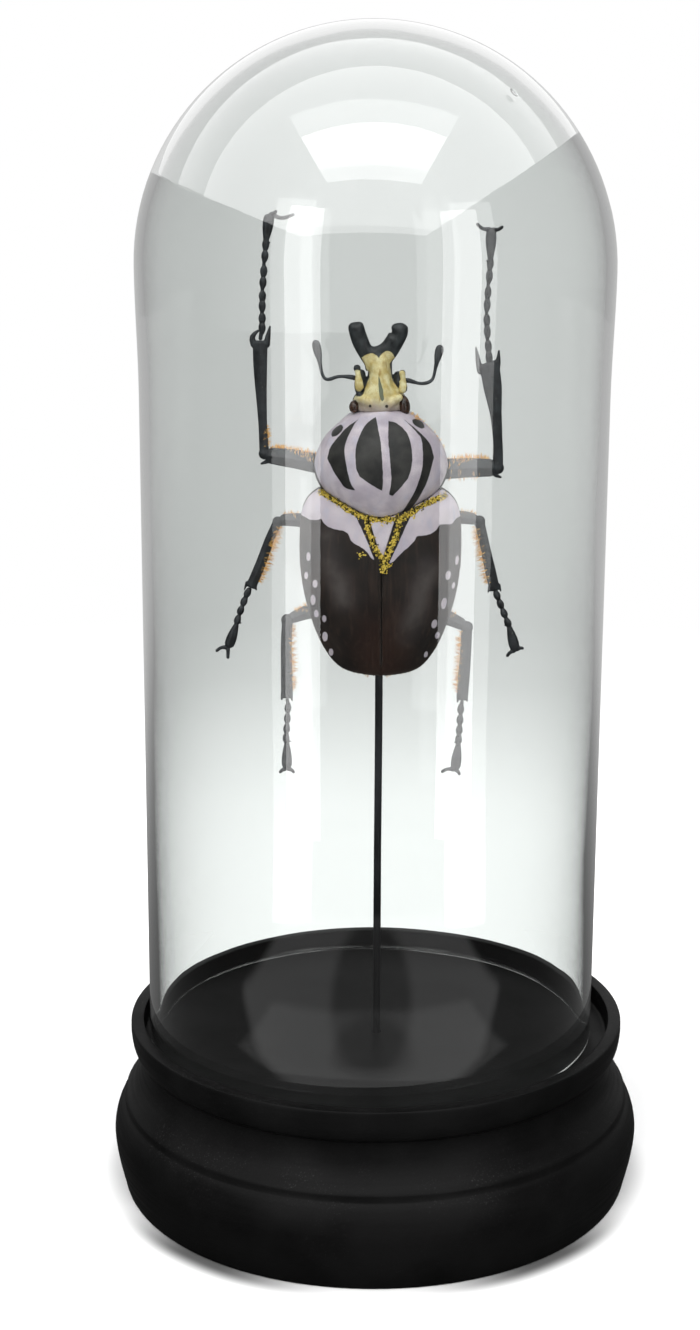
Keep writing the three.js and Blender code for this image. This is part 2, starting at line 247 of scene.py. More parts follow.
def limb(name, route, widths, depths=None, sides=16, rings=10, blunt=0.7):
    """A round-ended stem along a route. Widths are its half widths across, depths those along Y."""
    path = curve(route, 8)
    gone = np.concatenate([[0], np.cumsum(np.linalg.norm(np.diff(path, axis=0), axis=1))])
    total = gone[-1]
    start_cap, end_cap = blunt * widths[0], blunt * widths[-1]
    rows = [(start_cap * run, wide) for run, wide in CAPS]
    rows += [(run, 1) for run in np.linspace(start_cap, total - end_cap, rings)]
    rows += [(total - end_cap * run, wide) for run, wide in reversed(CAPS)]
    runs, shrink = np.array(rows).T

    def places(runs):
        return np.stack([np.interp(runs, gone, path[:, k]) for k in range(3)], axis=1)

    ahead = places(runs + 0.02 * total) - places(runs - 0.02 * total)
    heading = np.unwrap(np.arctan2(ahead[:, 0], ahead[:, 2]))
    wide, deep = (
        np.interp(runs / total, np.linspace(0, 1, len(sizes)), sizes) * shrink
        for sizes in (widths, depths or widths)
    )
    piece = disc(name, sides, 1)
    here = Vector((0, 0, 0))
    was = (0.0, 1.0, 1.0)
    for k, place in enumerate(places(runs)):
        there = mm(*place)
        if k:
            push(there - here)
        else:
            bpy.ops.transform.translate(value=there - here)
        turn = heading[k] - was[0]
        if abs(turn) > 1e-5:
            bpy.ops.transform.rotate(value=-turn, orient_axis="Y", center_override=there)
        grow = wide[k] / was[1]
        bpy.ops.transform.resize(value=(grow, deep[k] / was[2], grow), center_override=there)
        here = there
        was = (heading[k], wide[k], deep[k])
    close_mesh()
    return piece


def body(name, sections, centre_x=0.0, sides=64, levels=1):
    """An upright body. A section is height, half width, and where its back and its belly lie."""
    rows = [(z, half**2, (SIDE_Y - back) ** 2, (belly - SIDE_Y) ** 2) for z, half, back, belly in sections]
    rows = curve(rows, 3)
    heights = rows[:, 0]
    sizes = np.sqrt(np.maximum(rows[:, 1:], 0.04)).T
    half = sizes[0]
    piece = disc(name, sides, half[0], (centre_x, SIDE_Y, heights[0]))
    for k in range(1, len(heights)):
        push(mm(0, 0, heights[k] - heights[k - 1]))
        grow = half[k] / half[k - 1]
        here = mm(centre_x, SIDE_Y, heights[k])
        bpy.ops.transform.resize(value=(grow, grow, 1), center_override=here)
    close_mesh()
    points = points_of(piece)
    order = np.argsort(heights)
    half, back, belly = (np.interp(points[:, 2], heights[order], row[order]) for row in sizes)
    out = (points[:, 1] - SIDE_Y) / half
    points[:, 1] = SIDE_Y + out * np.where(out < 0, back, belly)
    set_points(piece, points)
    return modify(piece, "SUBSURF", levels=levels, render_levels=levels)


def oval(name, middle, half_sizes, turn=0.0, detail=(32, 20)):
    """A smooth egg: a sphere that is stretched and leaned over."""
    choose()
    segments, rings = detail
    bpy.ops.mesh.primitive_uv_sphere_add(segments=segments, ring_count=rings, radius=MM)
    piece = settle(name)
    open_mesh(piece)
    bpy.ops.transform.resize(value=half_sizes, center_override=(0, 0, 0))
    if turn:
        bpy.ops.transform.rotate(value=-turn, orient_axis="Y", center_override=(0, 0, 0))
    bpy.ops.transform.translate(value=mm(*middle))
    close_mesh()
    return piece


def drill_rod_hole(piece, sides, foot, top):
    choose()
    bpy.ops.mesh.primitive_cylinder_add(
        vertices=sides,
        radius=(ROD["radius"] + GAP) * MM,
        depth=(top - foot) * MM,
        location=mm(ROD["x"], ROD["y"], (foot + top) / 2),
    )
    return combine(piece, settle("drill"), "DIFFERENCE")


def hand_in(piece, material, slot, *nodes, smooth=60):
    """Shades a finished piece, and gives it its material and its place in the model."""
    choose(piece)
    bpy.ops.object.shade_smooth_by_angle(angle=math.radians(smooth))
    piece.data.materials.clear()
    piece.data.materials.append(material)
    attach(piece, "root")
    if nodes:
        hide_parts(*nodes)


# ---- making finishes -------------------------------------------------------


def tone(red, green, blue):
    """A colour given in 0 to 255 as it looks on a screen."""
    parts = [v / 255 for v in (red, green, blue)]
    return tuple(v / 12.92 if v <= 0.04045 else ((v + 0.055) / 1.055) ** 2.4 for v in parts) + (1.0,)


class Tree:
    """A node tree being filled, with short ways to add its nodes."""

    def __init__(self, tree):
        self.tree = tree

    def add(self, kind, values=None, **settings):
        node = self.tree.nodes.new("ShaderNode" + kind)
        for setting, value in settings.items():
            setattr(node, setting, value)
        for socket, value in (values or {}).items():
            self.put(node.inputs[socket], value)
        return node

    def put(self, socket, value):
        if isinstance(value, bpy.types.NodeSocket):
            self.tree.links.new(value, socket)
        else:
            socket.default_value = value

    def place(self, stretch=None):
        """Object coordinates, squeezed by stretch where it is given."""
        coordinates = self.add("TexCoord").outputs["Object"]
        if stretch is None:
            return coordinates
        return self.add("Mapping", {"Vector": coordinates, "Scale": stretch}).outputs[0]

    def axes(self, vector=None):
        """The x, y and z of a vector, or of the place."""
        return self.add("SeparateXYZ", {0: vector or self.place()}).outputs

    def attribute(self, name):
        return self.add("Attribute", attribute_name=name).outputs["Fac"]

    def cloudy(self, place, scale, detail):
        return self.add("TexNoise", {"Vector": place, "Scale": scale, "Detail": detail}).outputs["Fac"]

    def noise(self, size, detail=3, stretch=None):
        return self.cloudy(self.place(stretch), 1 / (size * MM), detail)

    def calc(self, operation, a, b=0.0):
        return self.add("Math", {0: a, 1: b}, operation=operation).outputs[0]

    def plus(self, a, b):
        return self.calc("ADD", a, b)

    def times(self, a, b):
        return self.calc("MULTIPLY", a, b)

    def spread(self, value, low, high, to_low=0.0, to_high=1.0):
        """Moves a value from one range to another, smoothly and no further."""
        values = {"Value": value, "From Min": low, "From Max": high, "To Min": to_low, "To Max": to_high}
        return self.add("MapRange", values, interpolation_type="SMOOTHSTEP").outputs[0]

    def blend(self, mask, under, over):
        return self.add("Mix", {0: mask, 6: under, 7: over}, data_type="RGBA").outputs[2]

    def mirrored(self, way):
        """One for a ray that a shiny surface has thrown back, zero for one that only came through glass."""
        return self.calc("MINIMUM", way["Glossy Depth"], 1.0)


class Finish(Tree):
    """A material with a Principled shader. Its colour is built up in layers of paint."""

    def __init__(self, name, **plain):
        self.material = bpy.data.materials.new(name)
        self.material.use_nodes = True
        super().__init__(self.material.node_tree)
        self.shader = self.tree.nodes["Principled BSDF"]
        self.set(**plain)

    def set(self, **values):
        for socket, value in values.items():
            self.put(self.shader.inputs[socket.replace("_", " ")], value)

    def bump(self, height, distance, strength):
        node = self.add("Bump", {"Height": height, "Distance": distance * MM, "Strength": strength})
        self.set(Normal=node.outputs[0])

    def group(self, group, **values):
        """A shared effect on this surface."""
        return self.add("Group", values, node_tree=group).outputs

    def ground(self, broad, fine, dark, light, stretch=None):
        """Paints the cloudy first colour, and gives its broad patches and its fine grain."""
        patches, grain = self.group(MOTTLE, Place=self.place(stretch), Broad=broad, Fine=fine)
        self.colour = self.blend(patches, dark, light)
        return patches, grain

    def marked(self, name, waver, reach=0.0, **values):
        """A mask from a distance that the mesh keeps, out to reach."""
        distance = self.attribute(name)
        if reach:
            distance = self.calc("SUBTRACT", distance, reach)
        return self.group(PAINTED_EDGE, Place=self.place(), Distance=distance, Waver=waver, **values)["Mask"]

    def paint(self, mask, colour):
        self.colour = self.blend(mask, self.colour, colour)

    def done(self, rough, height, distance, strength=0.5):
        """Wires up the colour, the roughness and the fine relief."""
        self.set(Base_Color=self.colour, Roughness=rough)
        self.bump(height, distance, strength)
        return self.material

    def mix(self, mask, under, over):
        """One shader over another."""
        return self.add("MixShader", {0: mask, 1: under, 2: over}).outputs[0]

    def show(self, shader):
        self.put(self.tree.nodes["Material Output"].inputs["Surface"], shader)
        return self.material


def new_group(name, outputs, **inputs):
    """A shared effect's tree, with its named inputs (and what they start at) and outputs."""
    group = bpy.data.node_groups.new(name, "ShaderNodeTree")
    for label, start in inputs.items():
        kind = "NodeSocketFloat" if isinstance(start, float) else "NodeSocketVector"
        socket = group.interface.new_socket(name=label, in_out="INPUT", socket_type=kind)
        socket.default_value = start
    for label in outputs:
        group.interface.new_socket(name=label, in_out="OUTPUT", socket_type="NodeSocketFloat")
    given = group.nodes.new("NodeGroupInput").outputs
    return Tree(group), given, group.nodes.new("NodeGroupOutput").inputs


def make_mottle():
    """Two layers of cloudiness on any surface: broad patches and fine grain."""
    inputs = dict(Place=(0.0, 0.0, 0.0), Broad=200.0, Fine=2000.0)
    tree, given, result = new_group("mottle", ("Patches", "Grain"), **inputs)
    for output, scale, detail, low in (("Patches", "Broad", 4, 0.3), ("Grain", "Fine", 3, 0.25)):
        noise = tree.cloudy(given["Place"], given[scale], detail)
        tree.put(result[output], tree.spread(noise, low, 1 - low))
    return tree.tree


def make_painted_edge():
    """A mask from a distance: full below zero, with an edge that wavers a little."""
    inputs = dict(Distance=0.0, Place=(0.0, 0.0, 0.0), Waver=0.1, Softness=0.08, Scale=900.0)
    tree, given, result = new_group("painted_edge", ("Mask",), **inputs)
    shift = tree.calc("SUBTRACT", tree.cloudy(given["Place"], given["Scale"], 2), 0.5)
    distance = tree.plus(given["Distance"], tree.times(shift, given["Waver"]))
    inner = tree.times(given["Softness"], -1.0)
    tree.put(result["Mask"], tree.spread(distance, inner, given["Softness"], 1.0, 0.0))
    return tree.tree


MOTTLE = make_mottle()
PAINTED_EDGE = make_painted_edge()

PALE = tone(228, 218, 225)
PALE_SHADE = tone(200, 189, 201)
MUSTARD = tone(206, 178, 58)
DUST_DARK = tone(54, 50, 20)


def wood_finish():
    """Black satin lacquer over turned wood: faint rings from the tool, and dust where it looks up."""
    finish = Finish("black satin wood", Specular_IOR_Level=0.035)
    patches, grain = finish.ground(45.0, 1700.0, tone(7, 7, 7), tone(13, 13, 13))
    rings = finish.noise(1.1, stretch=(0.02, 0.02, 1))
    specks = finish.spread(finish.cloudy(finish.place(), 2600.0, 2), 0.6, 0.72)
    drift = finish.spread(finish.cloudy(finish.place(), 60.0, 3), 0.35, 0.7)
    up = finish.axes(finish.add("NewGeometry").outputs["Normal"])["Z"]
    dust = finish.times(finish.times(specks, drift), finish.spread(up, 0.2, 1.0, 0.15, 1.0))
    finish.paint(finish.times(dust, 0.2), tone(104, 104, 104))
    rough = finish.plus(finish.spread(rings, 0.3, 0.7, -0.05, 0.05), finish.spread(patches, 0, 1, 0.36, 0.46))
    return finish.done(rough, finish.plus(finish.times(rings, 0.6), grain), 0.03, 0.35)


def rod_finish():
    finish = Finish("black painted rod", Specular_IOR_Level=0.25)
    patches, grain = finish.ground(300.0, 3000.0, tone(26, 27, 30), tone(50, 52, 56), (1, 1, 0.3))
    finish.paint(finish.spread(finish.axes()["Z"], 0.05, 0.115, 1, 0), tone(3, 3, 4))
    return finish.done(finish.spread(patches, 0, 1, 0.3, 0.5), grain, 0.03)


GLASS_GREY = (0.83, 0.85, 0.84, 1)
GLASS_DIMS = (0.66, 0.66, 0.66, 1)  # what each face of the glass lets through to the pieces inside


def glass_finish():
    """Clear glass that lets the lamps through to what stands inside it."""
    finish = Finish("clear glass", Base_Color=GLASS_GREY, Roughness=0.0, IOR=1.5, Transmission_Weight=1.0)
    finish.bump(finish.noise(26, 2, stretch=(1, 1, 0.35)), 0.35, 0.25)
    way = finish.add("LightPath").outputs
    clear = finish.add("BsdfTransparent", {"Color": GLASS_DIMS}).outputs[0]
    passing = finish.calc("MAXIMUM", way["Is Diffuse Ray"], finish.mirrored(way))
    inner = finish.mix(passing, finish.shader.outputs[0], clear)
    return finish.show(finish.mix(way["Is Shadow Ray"], inner, clear))


# ---- camera ----------------------------------------------------------------

FRAME_HEIGHT = 1330  # pixels
FRAME_MIDDLE_X = 350
VIEW_MIDDLE_X = 430  # the pixel that the lens looks straight at
FOCAL_PIXELS = 1906.059
CAMERA_PLACE = Vector((0, -492.403, 246.237))
CAMERA_TILT = 0.209506  # radians
CAMERA_ROLL = 0.0136556
CAMERA_YAW = 0.0270181
SENSOR = 36


def make_camera():
    sin, cos = math.sin, math.cos
    forward = Vector(
        (sin(CAMERA_YAW) * cos(CAMERA_TILT), cos(CAMERA_YAW) * cos(CAMERA_TILT), -sin(CAMERA_TILT))
    )
    right = Vector((cos(CAMERA_YAW), -sin(CAMERA_YAW), 0))
    up = right.cross(forward)
    rolled_right = cos(CAMERA_ROLL) * right + sin(CAMERA_ROLL) * up
    rolled_up = cos(CAMERA_ROLL) * up - sin(CAMERA_ROLL) * right
    lens = bpy.data.cameras.new("camera")
    lens.sensor_width = SENSOR
    lens.lens = SENSOR * FOCAL_PIXELS / FRAME_HEIGHT
    lens.shift_x = (FRAME_MIDDLE_X - VIEW_MIDDLE_X) / FRAME_HEIGHT
    lens.clip_start = 0.01
    camera = bpy.data.objects.new("camera", lens)
    turn = Matrix((rolled_right, rolled_up, -forward)).transposed()
    camera.matrix_world = Matrix.Translation(CAMERA_PLACE * MM) @ turn.to_4x4()
    bpy.context.scene.collection.objects.link(camera)
    bpy.context.scene.camera = camera


make_camera()

# ---- floor, room and lamps, in metres --------------------------------------

FLOOR_RADIUS = 6
FLOOR_MATT_TO = 0.09  # out to here the floor is plain matt, and from FLOOR_BRIGHT_FROM on it glows
FLOOR_BRIGHT_FROM = 0.2
FLOOR_PAPER = (0.8, 0.8, 0.8, 1)
# A shadow painted into the floor under the foot of the base: its colour, and from where to where it fades out.
CONTACT_SHADE = (0.08, 0.08, 0.08, 1)
CONTACT = (0.0702, 0.077)
# How bright the sweep is further out, by distance from the object.
FLOOR_GLOW = ((0.30, 1.6), (0.364, 1.55), (0.437, 1.42), (0.521, 1.27), (0.622, 1.11), (0.816, 1.0))
LEFT_SHADE = 0.12  # how much dimmer the sweep is at the left, seen through the glass
# The sweep in mirrors: dim in front, bright behind, and a bright sheet just in front of the
# object with a soft dark spot on it.
MIRROR_FRONT = 0.06
MIRROR_BACK = 0.6
SHEET_BRIGHT = 0.75
SHEET_SPOT = (0.0, -0.245, 0.0)


def floor_finish():
    finish = Finish("white sweep", Roughness=0.9, Specular_IOR_Level=0.1)
    centre = finish.add("VectorMath", {0: finish.place()}, operation="LENGTH").outputs["Value"]
    ramp = finish.add("ValToRGB", {0: centre})
    stops = ramp.color_ramp.elements
    brightest = FLOOR_GLOW[0][1]
    while len(stops) < len(FLOOR_GLOW):
        stops.new(0.5)
    for stop, (distance, bright) in zip(stops, FLOOR_GLOW):
        stop.position = distance
        stop.color = (bright / brightest,) * 3 + (1,)
    way = finish.add("LightPath").outputs
    x, y, _ = finish.axes()
    aside = finish.calc("ABSOLUTE", x)
    # Painted shadow: the floor's colour darkens near the foot of the base, most at its front sides.
    painted_shadow = finish.times(finish.spread(centre, *CONTACT, 1, 0), finish.spread(y, -0.052, -0.026, 1, 0.25))
    painted_shadow = finish.times(painted_shadow, finish.spread(aside, 0.004, 0.04, 0.2, 1))
    finish.set(Base_Color=finish.blend(painted_shadow, FLOOR_PAPER, CONTACT_SHADE))
    left = finish.times(finish.spread(x, -0.16, -0.02, LEFT_SHADE, 0), way["Is Transmission Ray"])
    strength = finish.times(finish.calc("SUBTRACT", 1.0, left), brightest)
    lit = finish.add("Emission", {"Color": ramp.outputs[0], "Strength": strength}).outputs[0]
    glow = finish.spread(centre, FLOOR_MATT_TO, FLOOR_BRIGHT_FROM)
    seen = finish.mix(glow, finish.shader.outputs[0], lit)
    sheet = finish.times(finish.spread(aside, 0.19, 0.21, 1, 0), finish.spread(y, -0.11, -0.13))
    sheet = finish.times(sheet, finish.spread(centre, 0.31, 0.33, 1, 0))
    spot = finish.add("VectorMath", {0: finish.place(), 1: SHEET_SPOT}, operation="DISTANCE").outputs["Value"]
    sheet = finish.times(sheet, finish.spread(spot, 0.06, 0.085, 0.35, 1))
    behind = finish.spread(y, -0.1, 0.7, MIRROR_FRONT, MIRROR_BACK)
    shown = finish.calc("MAXIMUM", behind, finish.times(sheet, SHEET_BRIGHT))
    mirrored = finish.add("Emission", {"Color": (1, 1, 1, 1), "Strength": shown}).outputs[0]
    return finish.show(finish.mix(finish.mirrored(way), seen, mirrored))


def make_floor():
    choose()
    bpy.ops.mesh.primitive_circle_add(vertices=96, radius=FLOOR_RADIUS, fill_type="TRIFAN")
    floor = settle("floor")
    floor.data.materials.append(floor_finish())


ROOM_SEEN = 1.0
ROOM_FILL = 0.3


def make_room():
    """A white room to look at, and a dimmer one to light and mirror in the pieces."""
    world = bpy.data.worlds.new("room")
    world.use_nodes = True
    bpy.context.scene.world = world
    tree = Tree(world.node_tree)
    way = tree.add("LightPath").outputs
    x, y, _ = tree.axes(tree.add("TexCoord").outputs["Generated"])
    bright = ROOM_FILL
    for mask, over in (
        (way["Is Transmission Ray"], tree.spread(x, -0.14, -0.02, ROOM_SEEN - LEFT_SHADE, ROOM_SEEN)),
        (tree.mirrored(way), tree.spread(y, -0.2, 0.6, MIRROR_FRONT, MIRROR_BACK)),
        (way["Is Camera Ray"], ROOM_SEEN),
    ):
        bright = tree.add("Mix", {0: mask, 2: bright, 3: over}).outputs[0]
    background = world.node_tree.nodes["Background"].inputs
    tree.put(background["Color"], (1, 1, 1, 1))
    tree.put(background["Strength"], bright)
    bpy.context.scene.view_settings.view_transform = "Standard"


def soft_lamp(name, place, aim, width, height, brightness, lights_matt=True):
    """A flat soft lamp of a given brightness of face, seen only in mirrors and by what it lights."""
    lamp = bpy.data.lights.new(name, "AREA")
    lamp.shape = "RECTANGLE"
    lamp.size = width
    lamp.size_y = height
    lamp.energy = brightness * math.pi * width * height
    piece = bpy.data.objects.new(name, lamp)
    piece.location = place
    direction = Vector(aim) - Vector(place)
    piece.rotation_euler = direction.to_track_quat("-Z", "Y").to_euler()
    piece.visible_camera = False
    piece.visible_transmission = False
    piece.visible_diffuse = lights_matt
    bpy.context.scene.collection.objects.link(piece)


STRIP_DISTANCE = 0.35
STRIPS = {"strip_left": (-31.0, 0.096, 4.2), "strip_right": (36.3, 0.104, 4.2)}
STRIP_TOP = 0.40
STRIP_FOOT = 0.02


def make_lamps():
    soft_lamp("ceiling", (-0.385, -1.25, 1.02), (-0.385, -1.25, 0), 3.03, 2.8, 3.1)
    soft_lamp("ceiling_back", (-0.385, 1.45, 1.02), (-0.385, 1.45, 0), 3.03, 2.6, 0.66, False)
    soft_lamp("overhead", (-0.02, -0.62, 1.0), (-0.02, -0.62, 0), 0.85, 0.6, 3.5)
    middle = (STRIP_TOP + STRIP_FOOT) / 2
    for name, (turn, width, brightness) in STRIPS.items():
        turn = math.radians(turn)
        place = (STRIP_DISTANCE * math.sin(turn), -STRIP_DISTANCE * math.cos(turn), middle)
        soft_lamp(name, place, (0, 0, middle), width, STRIP_TOP - STRIP_FOOT, brightness, False)


make_floor()
make_room()
make_lamps()

# ---- base, rod and glass ---------------------------------------------------

RECESS_Z = 40.3
RIM_Z = 45.5
BASE_STEPS = 160
# The turned outline as spans between sharp corners, from the middle of the recess round to the
# middle of the underside; each span is one smooth curve.
BASE_SPANS = (
    ((0, RECESS_Z), (20, RECESS_Z), (61.9, RECESS_Z)),
    ((61.9, RECESS_Z), (62.8, 40.6), (63.1, 41.4)),
    ((63.1, 41.4), (63.1, RIM_Z - 0.5)),
    ((63.1, RIM_Z - 0.5), (63.25, RIM_Z - 0.13), (63.7, RIM_Z)),
    ((63.7, RIM_Z), (66, RIM_Z)),
    ((66, RIM_Z), (66.42, RIM_Z - 0.14), (66.6, RIM_Z - 0.6)),
    ((66.6, 44.9), (66.6, 42.5), (66.2, 39.8), (65.2, 37.4), (63.8, 36.5)),
    ((63.8, 36.5), (63.5, 35.9), (63.5, 33.7), (64.1, 31.1), (65.2, 28.7), (66.8, 26.5), (68.2, 24.9)),
    ((68.2, 24.9), (68.42, 24.5), (68.5, 24.1)),
    ((68.5, 24.1), (68.5, 22.9)),
    ((68.5, 22.9), (69.6, 21.4), (70.7, 18.9), (71.3, 16.2), (71.4, 13.5), (70.7, 8.5), (69.2, 2)),
    ((69.2, 2), (68.8, 0.5), (68.3, 0)),
    ((68.3, 0), (30, 0), (0, 0)),
)


def make_base():
    profile = [BASE_SPANS[0][0]]
    for span in BASE_SPANS:
        profile += [tuple(p) for p in curve(span, 1 if len(span) == 2 else 4)[1:]]
    base = lathe("wooden_base", profile, BASE_STEPS)
    drill_rod_hole(base, 48, ROD["foot"] - GAP, RECESS_Z + 2)
    hand_in(base, wood_finish(), "black_wood", "base", smooth=42)


def make_rod():
    route = [(ROD["x"], ROD["y"], z) for z in (ROD["foot"], 90, ROD["top"])]
    rod = limb("rod", route, [ROD["radius"]], sides=32, rings=12, blunt=0.5)
    hand_in(rod, rod_finish(), "black_rod", "mount_rod", smooth=50)


def dome_line(inset):
    """One face of the glass, from its foot to the top of the axis."""
    radius, start, rise = DOME["radius"], DOME["bulge_start"], DOME["shoulder"] - DOME["bulge_start"]
    line = [(radius - inset, z) for z in np.linspace(DOME["foot"] + DOME["wall"] / 2, start, 14)]
    for t in np.linspace(0, 1, 8)[1:]:
        line.append((radius + DOME["bulge"] * t * t * (3 - 2 * t) - inset, start + t * rise))
    for angle in np.radians(np.linspace(0, 90, 33)[1:]):
        out = (radius + DOME["bulge"] - inset) * math.cos(angle)
        line.append((max(out, 0), DOME["shoulder"] + (radius - inset) * math.sin(angle)))
    return line


def make_dome():
    lip = DOME["wall"] / 2
    round_foot = [
        (DOME["radius"] - lip + lip * math.cos(a), DOME["foot"] + lip * (1 + math.sin(a)))
        for a in np.radians(np.linspace(0, -180, 9)[1:-1])
    ]
    profile = dome_line(0)[::-1] + round_foot + dome_line(DOME["wall"])
    dome = lathe("dome", profile, 192, DOME["shift"])
    # Blown glass is never quite even: its inner face wavers a little.
    points = points_of(dome)
    x, y, z = points.T
    side = np.hypot(x - DOME["shift"], y)
    around = np.arctan2(y, x - DOME["shift"])
    waver = 0.05 * np.sin(3 * around + z / 21) + 0.04 * np.sin(5 * around - z / 13)
    inner = side < DOME["radius"] - 0.6 * DOME["wall"]
    scale = 1 + np.where(inner, waver, 0) / np.maximum(side, 20)
    points[:, 0] = DOME["shift"] + (x - DOME["shift"]) * scale
    points[:, 1] *= scale
    set_points(dome, points)
    hand_in(dome, glass_finish(), "clear_glass", "glass_dome")


make_base()
make_rod()
make_dome()
# ---- beetle's trunk --------------------------------------------------------

# Each section is height, half width, and where the back and the belly lie.
PROTHORAX = (
    (209.4, 0, -6, -6),
    (208, 8, -11, 3),
    (205, 11.4, -13.5, 6),
    (201.5, 14.8, -16, 8),
    (197, 16.8, -17.6, 9),
    (192.5, 16.9, -18.2, 9),
    (188.5, 14.9, -17.8, 8),
    (185, 10.6, -16.4, 6),
    (182.6, 6.2, -14.4, 4),
    (181.2, 0, -8, -8),
)
HIND_BODY = (
    (191, 0, -4, -4),
    (189.4, 15, -10, 5),
    (185, 19.8, -13.6, 9),
    (178, 20.8, -16, 10.5),
    (170, 20.7, -17, 11),
    (162, 19.6, -16.8, 10),
    (154.5, 17.6, -15, 8),
    (147.5, 14.9, -11.6, 5),
    (142, 11, -8, 1.5),
    (139.4, 0, -4, -4),
)

# Markings, as (x, height) seen from the back. A patch is its left side from top to bottom, then its
# right side back to the top; each side is a smooth line and the ends stay sharp.
INNER_PATCHES = (
    (
        ((-1.5, 207.7), (-4.3, 205.3), (-6.3, 200.6), (-6.3, 195.6), (-5.4, 193.2)),
        ((-5.4, 193.2), (-3.4, 191.8), (-1.3, 190.5), (0.4, 189.7)),
        ((0.4, 189.7), (0.5, 192.4), (0.3, 196.5), (-0.2, 201.6), (-0.8, 204.5), (-1.5, 207.7)),
    ),
    (
        ((1.7, 206.7), (1.7, 202.1), (2, 199.1), (2.5, 193.9), (2.5, 191.3), (2, 188.8)),
        ((2, 188.8), (2.9, 188.4), (5, 190.5), (6.8, 192.8)),
        ((6.8, 192.8), (7.5, 195.4), (7.7, 198.5), (6.7, 203.1), (4, 205.9), (1.7, 206.7)),
    ),
)
OUTER_PATCHES = (
    (
        ((-4.9, 207.5), (-6.7, 205.9), (-8.9, 201.3), (-9.1, 198.2), (-7.8, 192.1), (-6.4, 189.6)),
        ((-6.4, 189.6), (-8.9, 190.1), (-10, 191.4), (-11.9, 194.1), (-13.6, 197)),
        ((-13.6, 197), (-12.8, 199.9), (-10.7, 202.6), (-8.6, 204.9), (-4.9, 207.5)),
    ),
    (
        ((5.7, 206.8), (8.9, 203.6), (10.1, 201.6), (10.4, 196.3), (9.7, 192.7), (8.3, 189), (5.1, 183.2)),
        ((5.1, 183.2), (8.2, 185.3), (10.1, 188.5), (11.6, 191.7), (13.3, 197.4)),
        ((13.3, 197.4), (12.4, 200.5), (11, 202.3), (8.9, 204.3), (5.7, 206.8)),
    ),
)
# Small dark spots as centre, then the end of the long half axis, then the short half width.
PROTHORAX_SPOTS = (((-11.2, 203.7), (-9.8, 205), 0.8), ((9.3, 205.6), (7.8, 206.6), 0.75))

PATCH_EDGES = (
    (
        ((-22, 182.5), (-19, 181.6), (-17.8, 181.2), (-16.2, 181.4), (-14.9, 181.8)),
        ((-14.9, 181.8), (-14.3, 180.7), (-13.2, 179.9), (-11.2, 179.3), (-9.3, 179.1)),
        ((-9.3, 179.1), (-8.1, 178.4), (-7.2, 176.6), (-5.4, 175.5), (-3.7, 174.4), (-2.3, 172.7), (-0.6, 171.2)),
        ((-0.6, 171.2), (0, 195), (-22, 195), (-22, 182.5)),
    ),
    (
        ((22, 182.5), (19.2, 181.6), (17.9, 180.4), (16, 180.6), (15, 180.5)),
        ((15, 180.5), (13.9, 179.1), (12.2, 178.2), (10, 178), (9.1, 177.8)),
        ((9.1, 177.8), (8.1, 176.2), (6.5, 174.9), (5.1, 173.6), (3.3, 171.8), (1.6, 170.9)),
        ((1.6, 170.9), (0.6, 195), (22, 195), (22, 182.5)),
    ),
)
# The inner line of the pale patch runs down beside the scutellum.
PATCH_INNER = {
    -1: ((-8, 186), (-4.9, 180), (-3.2, 176.4), (-1.2, 171.5)),
    1: ((9, 186), (6.2, 180), (4.6, 176.4), (2.2, 171.2)),
}
COVER_SPOTS = (
    (-18.3, 171.7, 0.55, 1.1), (-18.9, 166.6, 0.5, 1), (-16.5, 164.9, 0.65, 1.1), (-17.1, 160.4, 0.65, 1.4),
    (-16.3, 156.7, 0.6, 1.1), (-14.2, 155.8, 0.55, 1), (-14.1, 150.7, 0.7, 1.4), (-12.6, 146.4, 0.6, 1.1),
    (19.6, 170.9, 0.5, 1.2), (17.3, 167.4, 0.7, 1.2), (18.8, 164.4, 0.45, 0.9), (16.4, 160, 0.75, 1.5),
    (14, 154.7, 0.75, 1.2), (14.9, 151.3, 0.6, 1), (12, 146.2, 0.5, 0.9),
)
# Where a sheen is painted onto the velvet of each cover, as lighter colour along these lines, and how far to its
# sides.
SHEEN_LINES = {
    -1: ((-14.2, 177), (-12, 170), (-9.3, 162)),
    1: ((12.4, 170), (10.6, 164), (9, 158), (7.6, 152)),
}
SHEEN_WIDTH = 3.0
# The seams that the yellow dust fills.
SEAMS = (
    ((-15.4, 188.3), (-14.6, 187.8), (-11.6, 186.3), (-8.2, 184.4), (-5.4, 183), (-3.4, 182.2)),
    ((-3.4, 182.2), (-2.4, 177.9), (-1, 174.6), (0.7, 171.9), (1, 169.8)),
    ((16.4, 187.4), (12.2, 186), (9.4, 184.7), (7.1, 183.1), (4.9, 182.1)),
    ((4.9, 182.1), (3.9, 177.9), (2.7, 175.3), (1.3, 171.9), (1, 169.8)),
    ((-3.4, 182.3), (0.3, 182.1), (4.9, 182.3)),
)
FAR = 9.0  # the distance stored where a marking can't be


def edge_distance(points, start, end):
    """Distance in mm from each (x, height) to the nearest of the edges."""
    px, pz = points[:, 0][:, None] - start[:, 0], points[:, 1][:, None] - start[:, 1]
    ex, ez = (end - start).T
    t = np.clip((px * ex + pz * ez) / np.maximum(ex**2 + ez**2, 1e-9), 0, 1)
    return np.hypot(px - t * ex, pz - t * ez).min(axis=1)


